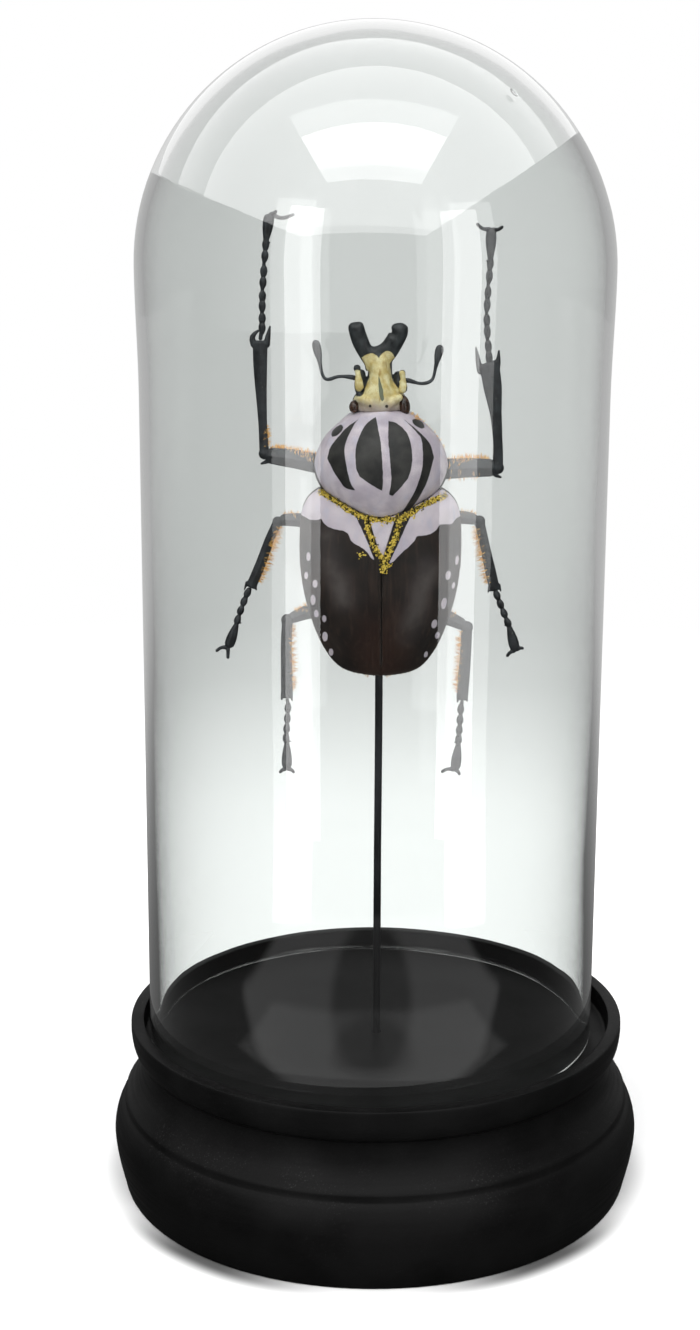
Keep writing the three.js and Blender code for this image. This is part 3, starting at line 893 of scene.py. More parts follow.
def outline_distance(points, outline):
    """Distance in mm from each (x, height) to a closed outline, below zero inside it."""
    start = np.asarray(outline, float)
    end = np.roll(start, -1, axis=0)
    px, pz = points[:, 0][:, None], points[:, 1][:, None]
    ex, ez = (end - start).T
    crosses = (start[:, 1] > pz) != (end[:, 1] > pz)
    left = px < start[:, 0] + (pz - start[:, 1]) * ex / np.where(ez == 0, 1e-9, ez)
    near = edge_distance(points, start, end)
    return np.where((crosses & left).sum(axis=1) % 2 == 1, -near, near)


def line_distance(points, line):
    line = np.asarray(line, float)
    return edge_distance(points, line[:-1], line[1:])


def outline_of(sides, steps, straight_to=0):
    """Smooth sides that meet at sharp corners. A side with few points stays straight."""
    sides = [curve(side, steps) if len(side) > straight_to else np.array(side, float) for side in sides]
    return np.vstack([side[:-1] for side in sides])


def oval_distance(points, centre, reach, half):
    """Rough distance to an oval with one half axis from its centre to reach."""
    long_axis = np.subtract(reach, centre)
    length = np.hypot(*long_axis)
    along = (points - centre) @ (long_axis / length)
    across = (points - centre) @ (np.array((-long_axis[1], long_axis[0])) / length)
    return (np.hypot(along / length, across / half) - 1) * min(length, half)


def mark(piece, where=True, **distances):
    """Keeps the distances of some markings, each the nearest of its own list, and of the seams."""
    points = points_of(piece)
    seams = [line_distance(points[:, (0, 2)], curve(seam, 5)) for seam in SEAMS]
    for name, distance in dict(distances, dust=seams).items():
        store(piece, name, np.where(where, np.min(distance, axis=0), FAR))


def mark_prothorax(shell):
    points = points_of(shell)
    flat = points[:, (0, 2)]
    charcoal = [outline_distance(flat, outline_of(p, 6, 4)) for p in INNER_PATCHES + OUTER_PATCHES]
    charcoal += [oval_distance(flat, *spot) for spot in PROTHORAX_SPOTS]
    mark(shell, points[:, 1] < COVER_Y + 0.5, charcoal=charcoal)
    margin = np.abs(points[:, 1] - (SIDE_Y - 2.6)) - 1.6 * np.clip((195 - points[:, 2]) / 4, 0, 1)
    store(shell, "margin", np.where(points[:, 1] < SIDE_Y + 1, margin, FAR))


def mark_cover(cover, side):
    points = points_of(cover)
    flat = points[:, (0, 2)]
    x, z = flat.T
    patch = outline_distance(flat, outline_of(PATCH_EDGES[side > 0], 6, 4))
    inner = curve(PATCH_INNER[side], 5)
    reach = np.interp(z, inner[::-1, 1], inner[::-1, 0])
    patch = np.maximum(patch, (reach - x) * side * 0.85)
    spots = [oval_distance(flat, (a, b), (a + 0.1, b + tall), wide) for a, b, wide, tall in COVER_SPOTS]
    mark(cover, points[:, 1] < COVER_Y + 0.5, patch=[patch], spots=spots)
    store(cover, "across", np.abs(x - SUTURE_X))
    # Painted sheen: lighter colour in bands along the sheen lines, standing in for light on the velvet, fading
    # towards the tip.
    sheen_band = bump_at(line_distance(flat, curve(SHEEN_LINES[side], 5)), SHEEN_WIDTH)
    store(cover, "painted_sheen", sheen_band * np.clip((z - 143) / 12, 0.2, 1))


def shell_relief(points, facing):
    """A faint ridge down the middle of the prothorax and a raised rim at its lower sides."""
    back = np.clip(-facing[:, 1], 0, 1)
    ridge = 0.12 * bump_at(points[:, 0] - 0.6, 0.9) * back
    rim = 0.25 * bump_at(points[:, 1] - (SIDE_Y - 2), 1.2) * np.clip((200 - points[:, 2]) / 8, 0, 1)
    dents = 0.1 * np.sin(points[:, 0] / 2.1 + 1) * np.sin(points[:, 2] / 2.7) * back
    collar = 0.9 * np.clip((points[:, 2] - 205.6) / 2, 0, 1) * bump_at(points[:, 0] - 0.3, 5.5) * back
    return ridge + rim + dents + collar


def cover_relief(points, facing):
    back = np.clip(-2 * facing[:, 1] - 0.2, 0, 1)
    x, _, z = points.T
    out = np.abs(x - SUTURE_X)
    fade = np.clip((173 - z) / 4, 0, 1) * np.clip((z - 141) / 5, 0, 1)
    ridges = sum(0.16 * bump_at(out - at, 0.32) for at in (0.95, 2.1, 3.4)) * fade
    shoulder = 0.7 * bump_at(np.hypot(out - 16.6, z - 183.5), 3.2)
    tip_knob = 0.5 * bump_at(np.hypot(out - 9, (z - 149) * 0.8), 3.6)
    hollow = -0.35 * bump_at(np.hypot((out - 8) * 0.8, (z - 172) * 0.35), 4)
    rolled_edge = 0.55 * np.clip((points[:, 1] + 9) / 3.5, 0, 1) * np.clip(1.6 * np.abs(facing[:, 0]), 0, 1)
    return (ridges + shoulder + tip_knob + hollow) * back + rolled_edge


def thorax_relief(points, facing):
    belly = np.clip(2 * facing[:, 1], 0, 1)
    x, _, z = points.T
    middle = -0.5 * bump_at(x, 0.5)
    plates = -0.5 * bump_at(z - 168.5 - 0.12 * np.abs(x), 0.5) - 0.4 * bump_at(z - 181 + 0.2 * np.abs(x), 0.5)
    return (middle + plates) * belly


def abdomen_relief(points, facing):
    belly = np.clip(2.5 * facing[:, 1] + 0.6, 0, 1)
    x, _, z = points.T
    level = z - 0.02 * x**2
    grooves = sum(-0.55 * bump_at(level - at, 0.45) for at in (157.4, 152.6, 148, 143.6))
    return (grooves - 0.25 * bump_at(x, 2.5)) * belly


def carve_room(piece):
    """Cuts away where the prothorax stands, and a gap round it."""
    room = body("room", PROTHORAX)
    relief(room, lambda points, facing: np.full(len(points), GAP))
    return combine(piece, room, "DIFFERENCE")


SHIELD = dict(half=3.4, shoulder=182.5, tip=171.8, top=191)


def make_shield(grow):
    """A block in the scutellum's outline, wider by grow, to cut with."""
    half = SHIELD["half"] + grow
    low = SHIELD["tip"] - 2 * grow
    corners = ((-half, SHIELD["top"]), (-half, SHIELD["shoulder"]), (0, low))
    corners += ((half, SHIELD["shoulder"]), (half, SHIELD["top"]))
    return plate("shield", [(SUTURE_X + x, z) for x, z in corners], -25, 0)


def make_trunk():
    """The trunk pieces by node, cut from two rounded bodies."""
    shell = body("prothorax_shell", PROTHORAX, levels=2)
    relief(shell, shell_relief)
    under = carve_room(body("hind", HIND_BODY))
    covers = slice_off(copy_of(under, "cover_right"), (0, COVER_Y - GAP, 0), (0, 1, 0))
    slice_off(under, (0, COVER_Y, 0), (0, -1, 0))
    scutellum = combine(copy_of(covers, "scutellum_shield"), make_shield(0), "INTERSECT")
    right = combine(covers, make_shield(GAP), "DIFFERENCE")
    left = slice_off(copy_of(right, "cover_left"), (SUTURE_X - GAP / 2, 0, 0), (1, 0, 0))
    slice_off(right, (SUTURE_X + GAP / 2, 0, 0), (-1, 0, 0))
    thorax = slice_off(copy_of(under, "thorax_underside"), (0, 0, WAIST_Z + GAP / 2), (0, 0, -1))
    abdomen = slice_off(under, (0, 0, WAIST_Z - GAP / 2), (0, 0, 1))
    abdomen.name = "abdomen_underside"
    hole_top = ROD["top"] + GAP
    drill_rod_hole(abdomen, 32, hole_top - 40, hole_top)
    for cover, side in ((left, -1), (right, 1)):
        fuse(cover, 0.3, 5)
        relief(cover, cover_relief)
        mark_cover(cover, side)
    mark(fuse(scutellum, 0.22, 5))
    relief(fuse(thorax, 0.4, 6), thorax_relief)
    relief(fuse(abdomen, 0.35, 6), abdomen_relief)
    mark_prothorax(shell)
    pieces = dict(prothorax=shell, scutellum=scutellum, elytron_left=left, elytron_right=right)
    return dict(pieces, hind_thorax=thorax, abdomen=abdomen)


def lay_dust(finish, reach, dull, rough, height):
    """Yellow dust within reach of a seam, thinning out, and dull and raised where it lies."""
    mask = finish.marked("dust", 1.3, reach, Softness=0.12, Scale=1500.0)
    specks = finish.spread(finish.noise(0.7), 0.4, 0.6)
    finish.paint(mask, finish.blend(specks, DUST_DARK, MUSTARD))
    rough = finish.plus(rough, finish.times(mask, dull))
    return finish.done(rough, finish.plus(height, finish.times(mask, 2.0)), 0.03)


def pale_finish(name, marked):
    """Lilac-white shell, chalky and cloudy, with charcoal patches where it is marked."""
    finish = Finish(name, Sheen_Weight=0.08, Sheen_Roughness=0.4, Specular_IOR_Level=0.4)
    patches, grain = finish.ground(260.0, 2600.0, PALE_SHADE, PALE)
    streaks = finish.noise(2.2, stretch=(1, 1, 0.3))
    finish.paint(finish.spread(streaks, 0.45, 0.75, 0, 0.5), tone(205, 206, 226))
    finish.paint(finish.spread(grain, 0.1, 0.0, 0, 0.25), tone(120, 104, 126))
    rough = finish.spread(patches, 0, 1, 0.5, 0.42)
    height = grain
    if marked:
        edge = finish.marked("charcoal", 0.25)
        finish.paint(edge, finish.blend(patches, tone(26, 26, 25), tone(54, 53, 50)))
        finish.paint(finish.marked("margin", 0.6), tone(38, 36, 36))
        depth = finish.plus(finish.axes()["Y"], finish.times(streaks, 0.001))
        dark = finish.blend(grain, tone(26, 29, 28), tone(44, 47, 46))
        finish.paint(finish.spread(depth, 0.0015, 0.0021), dark)
        rough = finish.plus(rough, finish.times(edge, -0.06))
        height = finish.plus(height, finish.times(edge, -0.8))
    return lay_dust(finish, 0.55, 0.4, rough, height)


def cover_finish():
    """Velvety brown-black wing cover with a pale front patch, pale spots at its side, and a painted sheen."""
    finish = Finish("brown velvet cover", Sheen_Weight=0.35, Sheen_Roughness=0.35, Specular_IOR_Level=0.3)
    finish.set(Sheen_Tint=(0.75, 0.68, 0.62, 1))
    patches, grain = finish.ground(130.0, 3000.0, tone(21, 15, 13), tone(43, 31, 24))
    lengthwise = finish.noise(1.1, stretch=(1, 1, 0.08))
    low = finish.spread(finish.axes()["Z"], 0.166, 0.15)
    red = finish.times(finish.spread(finish.attribute("across"), 11, 2), low)
    finish.paint(finish.times(red, 0.45), tone(72, 38, 22))
    finish.paint(finish.spread(lengthwise, 0.5, 0.75, 0, 0.35), tone(78, 58, 46))
    # Painted sheen: the velvet is painted lighter where light would catch it.
    painted_sheen = finish.times(finish.attribute("painted_sheen"), finish.spread(patches, 0, 1, 0.35, 0.8))
    finish.paint(painted_sheen, tone(92, 85, 83))
    pale = finish.blend(patches, PALE_SHADE, PALE)
    pale = finish.blend(finish.spread(lengthwise, 0.45, 0.8, 0, 0.5), pale, tone(198, 200, 220))
    finish.paint(finish.calc("MAXIMUM", finish.marked("patch", 0.35), finish.marked("spots", 0.2)), pale)
    height = finish.plus(grain, finish.times(lengthwise, 0.8))
    return lay_dust(finish, 0.62, 0.3, finish.spread(patches, 0, 1, 0.5, 0.6), height)


def black_finish(name, dark, light):
    """Blue-black satin shell with fine pits, a worn grey bloom and small flecks."""
    finish = Finish(name, Specular_IOR_Level=0.45)
    patches, grain = finish.ground(420.0, 4200.0, dark, light)
    pits = finish.add("TexVoronoi", {"Vector": finish.place(), "Scale": 1500.0}).outputs["Distance"]
    finish.paint(finish.spread(finish.noise(0.5, 2), 0.68, 0.74, 0, 0.35), tone(150, 148, 140))
    height = finish.plus(finish.spread(pits, 0, 0.35), finish.times(grain, 0.4))
    return finish.done(finish.spread(patches, 0, 1, 0.32, 0.5), height, 0.05)


LEG_BLACK = black_finish("blue-black leg shell", tone(24, 27, 30), tone(48, 53, 57))
BELLY_BLACK = black_finish("dark underside", tone(26, 27, 26), tone(52, 50, 46))

PIECES = make_trunk()  # by the name of the node that each stands for
hand_in(PIECES["prothorax"], pale_finish("marked pale shell", True), "pale_shell", "prothorax")
hand_in(PIECES["scutellum"], pale_finish("plain pale shell", False), "pale_shell", "scutellum")
cover_brown = cover_finish()
for node in ("elytron_left", "elytron_right"):
    hand_in(PIECES[node], cover_brown, "brown_shell", node)
for node in ("hind_thorax", "abdomen"):
    hand_in(PIECES[node], BELLY_BLACK, "blue_black_shell", node)

# ---- head, horn, eyes and antennae -----------------------------------------

SKULL = (
    (223.4, 0, -6, -6),
    (222.6, 3, -7.6, -3.2),
    (219.5, 3.1, -8.6, -2),
    (216.8, 3.4, -9.2, -0.5),
    (214.2, 5, -9.8, 1),
    (211, 7.1, -10.4, 2.4),
    (207.5, 6, -10, 2.5),
    (205.5, 0, -5, -5),
)
HORN_NEAR_Y = -7
HORN_FAR_Y = -4
# Left prong, fork and right prong with its chipped inner corner, each side one smooth line.
HORN_OUTLINE = (
    ((-4.3, 218.6), (-4.6, 220.1), (-5.7, 221.8), (-6.9, 223.8), (-7.8, 225.7), (-8.6, 228.5), (-8.7, 229.7)),
    ((-8.7, 229.7), (-8, 230.5), (-6.5, 230.8), (-5.3, 230.7), (-4.8, 230)),
    ((-4.8, 230), (-4, 227.5), (-3, 225.1)),
    ((-3, 225.1), (-2.5, 224.8), (-1.6, 224.9), (-0.3, 225.6), (0.9, 227.2), (1.6, 228.4)),
    ((1.6, 228.4), (2.1, 228), (2.3, 228.6), (2.1, 229.6), (2.7, 230.4)),
    ((2.7, 230.4), (3.9, 230.7), (5.1, 230.6), (6.2, 229.8), (6.4, 228.7)),
    ((6.4, 228.7), (6.1, 227.2), (4.9, 224.7), (3.6, 222.5), (2.5, 221), (2, 220), (2, 218.6)),
)
HORN_THICK = 1.7  # half the thickness of a prong
HORN_ROUND = 2.2  # how far in from its edge a prong reaches full thickness
# Dark ground behind the lobes beside the stem, then the lobes, their knobs and the brow pads.
LOBE_GROUND = (
    (((-5.2, -4.5, 212.5), (-5.5, -4.5, 216), (-5.4, -4.5, 219)), (1.9, 1.6, 1), (2.3, 2.3, 1.6)),
    (((4, -4.5, 212.5), (4.2, -4.5, 216), (3.8, -4.5, 218.6)), (1.9, 1.6, 1), (2.3, 2.3, 1.6)),
)
LOBES = (
    (
        ((-5.8, -7.4, 213.7), (-6, -7.3, 216.2), (-6.3, -7.1, 219)),
        (1.15, 1.25, 1, 0.65, 0.75),
        (1.3, 1.3, 1.1, 0.9, 0.8),
    ),
    (
        ((5.15, -7.4, 213.2), (5.3, -7.3, 216), (4.9, -7.2, 219.1)),
        (1, 1.15, 0.7, 0.7, 1),
        (1.3, 1.2, 0.9, 1, 1),
    ),
    (((-5.2, -7.7, 213), (-6.7, -7, 213)), (0.6, 0.6), (0.7, 0.6)),
    (((4.9, -6, 213), (3.9, -6, 214.6), (3.8, -5.6, 217.6)), (0.6, 0.6, 0.4), (0.7, 0.7, 0.5)),
)
KNOB = ((-6.4, -6.9, 219.3), (0.95, 1, 1))  # middle and half sizes
BROWS = (
    (((-6.6, -7.8, 211.8), (-3.9, -9.4, 211.2), (-1.8, -9.9, 209.4)), (0.8, 1.1, 0.7), (0.9, 1, 0.6)),
    (((5.2, -7.8, 212.6), (2.8, -9.4, 211.2), (1.2, -9.9, 209.4)), (0.8, 1.1, 0.7), (0.9, 1, 0.6)),
)
CREAM_PLATE = (
    ((-5.4, 222), (-4, 222.8), (-2.6, 223.1), (-1.5, 222.6), (-0.9, 221.9)),
    ((-0.9, 221.9), (-0.1, 223.1), (1.1, 223.7), (2.4, 223.3), (3.1, 222)),
    ((3.1, 222), (1.9, 220.7), (2.1, 218.9), (2.4, 217.2), (3.4, 215.2), (4.6, 213.9)),
    ((4.6, 213.9), (6, 212.6), (8, 212.4)),
    ((8, 212.4), (9, 204), (-9.5, 204), (-9, 212.4)),
    ((-9, 212.4), (-5.4, 212.4), (-4.6, 213.7), (-3.9, 215.6), (-3.3, 217.4), (-4, 219.2), (-5.4, 222)),
)
STREAK = (
    (-1, 217.9), (-0.95, 215.2), (-0.75, 213), (-0.35, 211.8),
    (0.1, 211.3), (0.5, 211.9), (0.2, 214.2), (-0.35, 216),
)
PIN_DOTS = ((-3, 210.2), (1.2, 210.1))

# Eyes: middle, half sizes along x, y and z, and lean.
EYES = (((-7.0, -6.3, 209.7), (1.35, 1.9, 1.65), 0.12), ((5.6, -6.6, 210.1), (1.5, 2, 2.65), -0.2))

ANTENNAE = {
    "left": (
        (-6.6, -5.2, 216.6), (-7.9, -5, 217), (-11, -4.6, 217.1), (-13.9, -4, 216.3),
        (-15.2, -3.6, 217.6), (-16, -3.4, 221.4), (-17, -3, 226),
    ),
    "right": (
        (5.6, -5.2, 216.4), (6.9, -5, 216.2), (10, -4.6, 215.5), (12.6, -4, 216.4),
        (13.5, -3.6, 219.5), (14, -3.4, 222), (14.7, -3, 225.2),
    ),
}
ANTENNA_WIDTHS = (0.62, 0.6, 0.42, 0.42, 0.48, 0.42, 0.4, 0.44, 0.62, 0.98, 1.12, 0.85)
ANTENNA_DEPTHS = (0.62, 0.6, 0.42, 0.42, 0.48, 0.42, 0.4, 0.44, 0.55, 0.6, 0.6, 0.5)


def make_horn():
    """The forked plate, swelled into thick prongs with round edges."""
    outline = np.vstack([outline_of(HORN_OUTLINE, 4), [HORN_OUTLINE[-1][-1]]])
    horn = fuse(plate("horn", outline, HORN_NEAR_Y, HORN_FAR_Y), 0.2, 1)
    points = points_of(horn)
    half = (HORN_FAR_Y - HORN_NEAR_Y) / 2
    depth = np.clip(-outline_distance(points[:, (0, 2)], outline) / HORN_ROUND, 0, 1)
    side = (points[:, 1] - (HORN_NEAR_Y + HORN_FAR_Y) / 2) / half
    points[:, 1] += side * (HORN_THICK * np.sqrt(1 - (1 - depth) ** 2) - half)
    set_points(horn, points)
    return horn


def mark_head(head):
    points = points_of(head)
    flat = points[:, (0, 2)]
    # The two cream beans, on their near side only.
    beans = []
    for (foot, middle, tip), widths, _ in LOBES[:2]:
        line = [(foot[0], foot[2] + 1), (middle[0], middle[2]), (tip[0], tip[2] - 1.1)]
        beans.append(line_distance(flat, line) - widths[0] + 0.1)
    beans = np.maximum(np.min(beans, axis=0), np.where(points[:, 1] > -6.7, FAR, -FAR))
    front = np.where(points[:, 1] < -4.2, 0, FAR)
    store(head, "cream", np.minimum(outline_distance(flat, outline_of(CREAM_PLATE, 5)), beans) + front)
    store(head, "streak", outline_distance(flat, STREAK) + front)
    dots = [np.hypot(flat[:, 0] - x, flat[:, 1] - z) - 0.4 for x, z in PIN_DOTS]
    store(head, "dots", np.min(dots, axis=0) + front)


def make_head():
    parts = [body("skull", SKULL, HEAD_X, sides=40), make_horn()]
    for route, widths, depths in LOBE_GROUND + LOBES + BROWS:
        parts.append(limb("growth", route, widths, depths, rings=6, blunt=0.9))
    parts.append(oval("knob", *KNOB))
    head = carve_room(fuse(join("horned_head", parts), 0.2, 3))
    relief(fuse(head, 0.2, 2), head_relief)
    mark_head(head)
    return head


def head_relief(points, facing):
    x, _, z = points.T
    back = np.clip(-facing[:, 1], 0, 1)
    flat = points[:, (0, 2)]
    groove = -0.25 * np.clip(1 - outline_distance(flat, STREAK) / 0.3, 0, 1)
    fold = 0.18 * bump_at(x + 2.4, 0.7) + 0.16 * bump_at(x - 1.2, 0.8) - 0.14 * bump_at(x + 0.6, 0.9)
    lines = fold * np.clip((z - 212) / 4, 0, 1) * np.clip((223 - z) / 2, 0, 1)
    lumps = 0.1 * np.sin(1.9 * x + 0.7 * z) * np.sin(1.3 * z - 0.6 * x)
    return (groove + lines + lumps) * back



def head_finish():
    finish = Finish("cream horned head", Specular_IOR_Level=0.45)
    patches, grain = finish.ground(520.0, 3600.0, tone(214, 192, 118), tone(246, 238, 186))
    veins = finish.noise(1.3, stretch=(1, 1, 0.35))
    finish.paint(finish.spread(veins, 0.55, 0.75, 0, 0.75), tone(176, 142, 62))
    finish.paint(finish.spread(grain, 0.2, 0, 0, 0.4), tone(132, 104, 52))
    height = finish.plus(finish.axes()["Z"], finish.times(veins, 0.002))
    finish.paint(finish.spread(height, 0.2139, 0.2098, 0, 0.8), tone(168, 156, 160))
    dark = finish.blend(patches, tone(22, 26, 28), tone(50, 56, 58))
    finish.colour = finish.blend(finish.marked("cream", 0.5, Softness=0.12), dark, finish.colour)
    finish.paint(finish.times(finish.marked("streak", 0.2), 0.9), tone(84, 100, 82))
    finish.paint(finish.marked("dots", 0.3), tone(52, 44, 34))
    height = finish.plus(grain, finish.times(veins, 1.5))
    return finish.done(finish.spread(patches, 0, 1, 0.36, 0.5), height, 0.05)


def eye_finish():
    """Dark brown eye with fine facets."""
    finish = Finish("dark brown eye", Coat_Weight=0.4, Coat_Roughness=0.1)
    facets = finish.add("TexVoronoi", {"Vector": finish.place(), "Scale": 7000.0}).outputs["Distance"]
    finish.ground(500.0, 4000.0, tone(34, 22, 16), tone(78, 50, 32))
    return finish.done(0.2, finish.spread(facets, 0.5, 0), 0.03, 0.6)


def antenna_finish():
    """The legs' blue-black, turning grey on the club."""
    finish = Finish("antenna shell")
    _, grain = finish.ground(600.0, 5000.0, tone(36, 40, 43), tone(66, 72, 76))
    finish.paint(finish.spread(finish.axes()["Z"], 0.2205, 0.2235, 0, 0.4), tone(70, 70, 72))
    return finish.done(0.45, grain, 0.04, 0.6)


hand_in(make_head(), head_finish(), "cream_shell", "head")
eyes = [oval("eye", *eye) for eye in EYES]
hand_in(join("eyes", eyes), eye_finish(), "blue_black_shell")
antenna_black = antenna_finish()
for side, route in ANTENNAE.items():
    feeler = limb("feeler_" + side, route, ANTENNA_WIDTHS, ANTENNA_DEPTHS, rings=40, blunt=0.9)
    hand_in(feeler, antenna_black, "blue_black_shell", "antenna_" + side)

# ---- legs ------------------------------------------------------------------

# Each leg, as (x, height) in the leg plane: the shin is its middle line with half widths; teeth are
# spikes at the shin's end; beads runs from the first to the last bead of the foot.
LEGS = {
    "front_left": dict(
        hip=((-5, 192), (-15, 193.6)), knee=(-30.2, 196.3), thick=(2.6, 2.9, 2.3),
        shin=((-30.4, 196.6), (-30.8, 204.6), (-31.1, 212), (-31.3, 218.8), (-31.3, 225.4)),
        shin_half=(1.45, 1.25, 1.55, 1.95, 2.2),
        teeth=(
            ((-32.6, 223.6), (-33.3, 226), (-32.1, 227.6), (-31.1, 228)),
            ((-29.8, 223.6), (-29.3, 226.4), (-28.7, 229.2)),
        ),
        beads=((-30.9, 228.4), (-30.7, 238), (-29.9, 249.2)), count=8,
        claw_base=(-29.8, 249.8), foot=(-28.9, 257), claws=((-22.4, 257), (-27, 258)),
    ),
    "front_right": dict(
        hip=((5, 191), (15, 192.4)), knee=(30.2, 193.4), thick=(2.6, 3, 2.5),
        shin=((30.4, 193.4), (30.4, 199), (29.7, 207), (28.2, 217.5), (27.2, 220.6)),
        shin_half=(1.6, 1.4, 1.7, 2.75, 3),
        teeth=(((25.6, 217.5), (24.9, 220.5), (24.1, 224.6)), ((29.5, 217.5), (30, 220.5), (30.2, 223.8))),
        beads=((27.6, 221.6), (26.7, 233), (27.3, 245.4)), count=8,
        claw_base=(27.4, 246.2), foot=(27.5, 254.2), claws=((23.6, 255.6), (30.6, 255)),
    ),
    "middle_left": dict(
        hip=((-5, 180), (-16, 178.4)), knee=(-26.6, 179.4), thick=(2.2, 2.2, 1.7),
        shin=((-27, 178.9), (-29.1, 174.2), (-31.3, 168.1), (-34.2, 161.2)),
        shin_half=(1.35, 1.45, 1.6, 1.6),
        teeth=(((-33.2, 163), (-32.6, 160.4)), ((-35, 163), (-35.9, 160.6))),
        beads=((-34.9, 159.9), (-36.3, 156.4), (-37.6, 152.6)), count=4,
        claw_base=(-37.9, 151.6), foot=(-40.3, 145), claws=((-43.7, 143.9), (-40.4, 141.9)),
    ),
    "middle_right": dict(
        hip=((5, 180), (16, 180)), knee=(25.4, 179.9), thick=(2.2, 2.1, 1.7),
        shin=((25.8, 179.4), (27.2, 173.8), (28.6, 167.8), (30.3, 161)),
        shin_half=(1.5, 1.45, 1.65, 1.65),
        teeth=(((29, 163), (28.4, 160.4)), ((31.2, 163), (31.9, 160.8))),
        beads=((30.9, 160), (32.4, 156.4), (34, 152.6)), count=4,
        claw_base=(34.3, 151.6), foot=(36.3, 144.9), claws=((38.6, 145.5), (33.9, 143.2)),
    ),
    "hind_left": dict(
        hip=((-5, 166), (-14, 155.8)), knee=(-24, 152.9), thick=(2.3, 2.3, 1.6),
        shin=((-24.4, 152.6), (-24.7, 146), (-24.7, 139), (-24.7, 131.4)),
        shin_half=(1.6, 1.7, 1.8, 1.8),
        teeth=(((-23.6, 133), (-23.3, 130.6)), ((-25.9, 133), (-26.2, 130.8))),
        beads=((-24.4, 128.9), (-24.7, 124.6), (-25, 120.6)), count=4,
        claw_base=(-24.9, 119.6), foot=(-24.9, 112), claws=((-26.9, 110.8), (-22.8, 110.8)),
    ),
    "hind_right": dict(
        hip=((5, 166), (13, 155)), knee=(22.7, 151.6), thick=(2.3, 2.4, 1.7),
        shin=((23, 151.2), (22.9, 145), (22.6, 138.6), (22.2, 131.3)),
        shin_half=(1.65, 1.7, 1.8, 1.75),
        teeth=(((21.2, 133), (21, 130.6)), ((23.3, 133), (23.6, 130.9))),
        beads=((22, 129), (21.8, 124.6), (21.6, 120.6)), count=4,
        claw_base=(21.5, 119.6), foot=(20.7, 112), claws=((16.9, 111.3), (22, 110.5)),
    ),
}
BEAD_HALF = 1.02
BEAD_TWIST = math.radians(28)
CLAW_WIDTHS = (0.65, 0.54, 0.48, 0.44)
LEG_VOXEL = 0.2
FOOT_VOXEL = 0.15


def stalk(name, places, widths, depths=None, **settings):
    """A limb along (x, height) places in the plane of the legs."""
    return limb(name, [(x, LEG_Y, z) for x, z in places], widths, depths, **settings)


def make_thigh(name, leg):
    """Coxa and femur: a flattened six-sided limb with a small spur at the knee."""
    (cx, cz), (hx, hz) = leg["hip"]
    kx, kz = leg["knee"]
    side = math.copysign(1, kx)
    route = [(cx, COXA_Y, cz), (hx, HIP_Y, hz), ((hx + kx) / 2, 5.2, (hz + kz) / 2 + 0.3), (kx, LEG_Y, kz)]
    first, middle, last = leg["thick"]
    widths = (first, middle, middle, 0.95 * middle, last)
    depths = (first, middle, 0.8 * middle, 0.75 * middle, 0.75 * last)
    low = kz - 0.9 * last
    parts = [
        limb("thigh", route, widths, depths, sides=6, rings=14),
        oval("coxa", (cx, COXA_Y - 1.2, cz), (1.25 * first, 0.9 * first, 1.15 * first)),
        stalk("spur", [(kx - 0.8 * side, low + 0.5), (kx + 1.3 * side, low - 0.3)], (0.7, 0.25), rings=4),
    ]
    return fuse(join("thigh_" + name, parts), LEG_VOXEL, 3)


def make_shin(name, leg):
    halves = leg["shin_half"]
    x, z = leg["shin"][0]
    depths = [0.75 * h if h < 2 else 1.45 for h in halves]
    parts = [
        stalk("shin", leg["shin"], halves, depths, sides=6, rings=16, blunt=0.25),
        oval("knee", (x, LEG_Y, z), (halves[0] * 1.05, 1.25, halves[0] * 1.05)),
    ]
    for tooth in leg["teeth"]:
        widths = (1.0, 0.72, 0.24) if len(tooth) > 2 else (0.55, 0.22)
        parts.append(stalk("tooth", tooth, widths, sides=10, rings=8))
    return fuse(join("shin_" + name, parts), LEG_VOXEL, 2)


def make_bead():
    """One pinched, slightly flat bead of a foot, 2 mm long, standing on the origin's axis."""
    route = [(0, 0, -1.12), (0.1, 0, 0), (0, 0, 1.12)]
    widths, depths = (0.5, 0.7, 0.95, 1, 0.85, 0.5), (0.5, 0.6, 0.75, 0.8, 0.7, 0.5)
    return limb("bead", route, widths, depths, sides=12, rings=9)


def string_beads(leg, bead):
    """Copies of the bead along the foot, each twisted the other way from the last."""
    spine = curve([(x, LEG_Y, z) for x, z in leg["beads"]], 12)
    last = len(spine) - 1
    spacing = np.linalg.norm(spine[-1] - spine[0]) / (leg["count"] - 1)
    size = Matrix.Diagonal((BEAD_HALF, BEAD_HALF, spacing / 2, 1))
    for k, t in enumerate(np.linspace(0, last, leg["count"])):
        t = int(round(t))
        ahead = spine[min(t + 2, last)] - spine[max(t - 2, 0)]
        one = copy_of(bead, "bead_copy")
        twist = Matrix.Rotation(BEAD_TWIST if k % 2 else -BEAD_TWIST, 4, "Z")
        turn = Matrix.Rotation(math.atan2(ahead[0], ahead[2]), 4, "Y") @ twist
        one.matrix_world = Matrix.Translation(mm(*spine[t])) @ turn @ size
        choose(one)
        yield settle("bead_copy")


def bent_claw(base, foot, claw):
    """A claw from the foot's end, bowed towards its tip's own side."""
    reach = np.subtract(claw, foot)
    bow = np.array((-reach[1], reach[0])) * (0.16 if reach[0] > 0 else -0.16)
    if abs(reach[0]) < 1:
        bow = bow * 0
    bend = foot + 0.5 * reach - bow * (1 if foot[1] > base[1] else -1)
    return stalk("claw", [foot, bend, claw], CLAW_WIDTHS, sides=10, rings=8, blunt=0.9)


